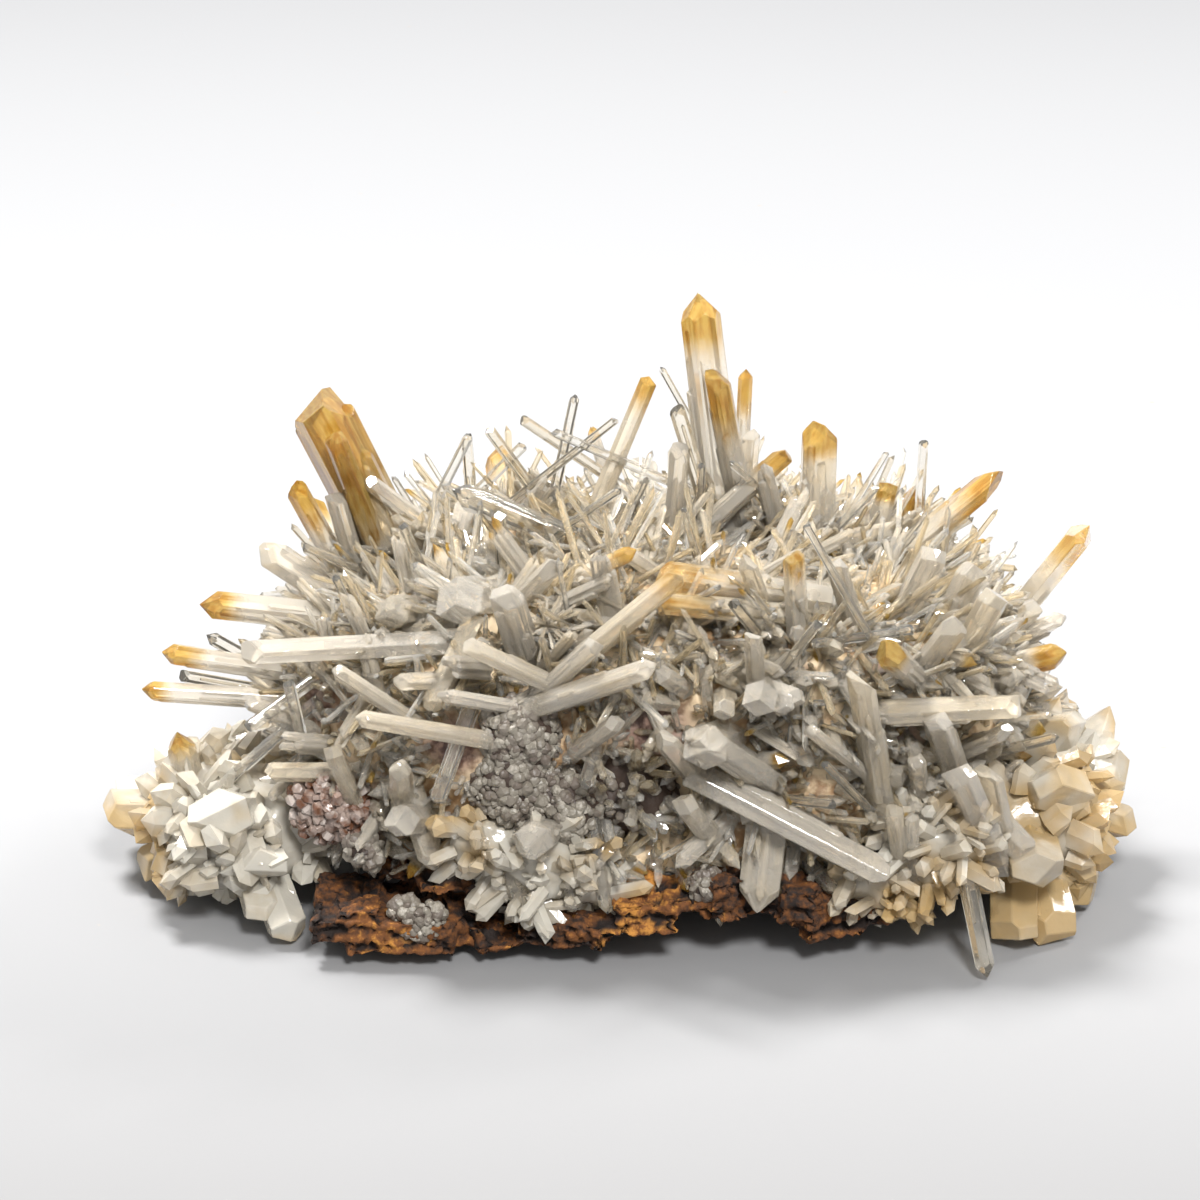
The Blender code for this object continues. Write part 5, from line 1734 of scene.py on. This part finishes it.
class QUARTZ_OT_masses(Operator):
    """Makes the two milky masses at the ends."""

    bl_idname = "quartz.masses"
    bl_label = "Milky masses"

    def execute(self, context):
        make_mass("milky_mass_left", LEFT_MASS, LEFT_BLOCKS, LEFT_SEED)
        make_mass("milky_mass_right", RIGHT_MASS, RIGHT_BLOCKS, RIGHT_SEED)
        return {"FINISHED"}


class QUARTZ_OT_lumps(Operator):
    """Makes the purple brown lump and the white sprays of the front."""

    bl_idname = "quartz.lumps"
    bl_label = "Front lumps"

    def execute(self, context):
        make_lumps()
        return {"FINISHED"}


class QUARTZ_OT_druse(Operator):
    """Makes the grey druse in and beside the hollow."""

    bl_idname = "quartz.druse"
    bl_label = "Grey druse"

    def execute(self, context):
        make_druse()
        return {"FINISHED"}


class QUARTZ_OT_matrix(Operator):
    """Makes the rusty ironstone underneath."""

    bl_idname = "quartz.matrix"
    bl_label = "Ironstone matrix"

    def execute(self, context):
        make_matrix()
        return {"FINISHED"}


OPERATORS = (
    QUARTZ_OT_stage,
    QUARTZ_OT_finishes,
    QUARTZ_OT_mango_crystals,
    QUARTZ_OT_milky_crystals,
    QUARTZ_OT_clear_crystals,
    QUARTZ_OT_bed,
    QUARTZ_OT_masses,
    QUARTZ_OT_lumps,
    QUARTZ_OT_druse,
    QUARTZ_OT_matrix,
)


class VIEW3D_PT_quartz(Panel):
    """Lists the pieces of the cluster and their sizes and colours."""

    bl_label = "Mango quartz"
    bl_space_type = "VIEW_3D"
    bl_region_type = "UI"
    bl_category = "Mango quartz"

    def draw(self, context):
        for group in (context.scene.quartz_sizes, context.scene.quartz_colours):
            for name in group.__annotations__:
                self.layout.prop(group, name)
        for operator in OPERATORS:
            self.layout.operator(operator.bl_idname)


CLASSES = (QuartzSizes, QuartzColours, *OPERATORS, VIEW3D_PT_quartz)


def register():
    for item in CLASSES:
        bpy.utils.register_class(item)
    bpy.types.Scene.quartz_sizes = PointerProperty(type=QuartzSizes)
    bpy.types.Scene.quartz_colours = PointerProperty(type=QuartzColours)


def unregister():
    del bpy.types.Scene.quartz_colours
    del bpy.types.Scene.quartz_sizes
    for item in reversed(CLASSES):
        bpy.utils.unregister_class(item)


def main():
    register()
    for operator in OPERATORS:
        family, name = operator.bl_idname.split(".")
        getattr(getattr(bpy.ops, family), name)()


if __name__ == "__main__":
    main()
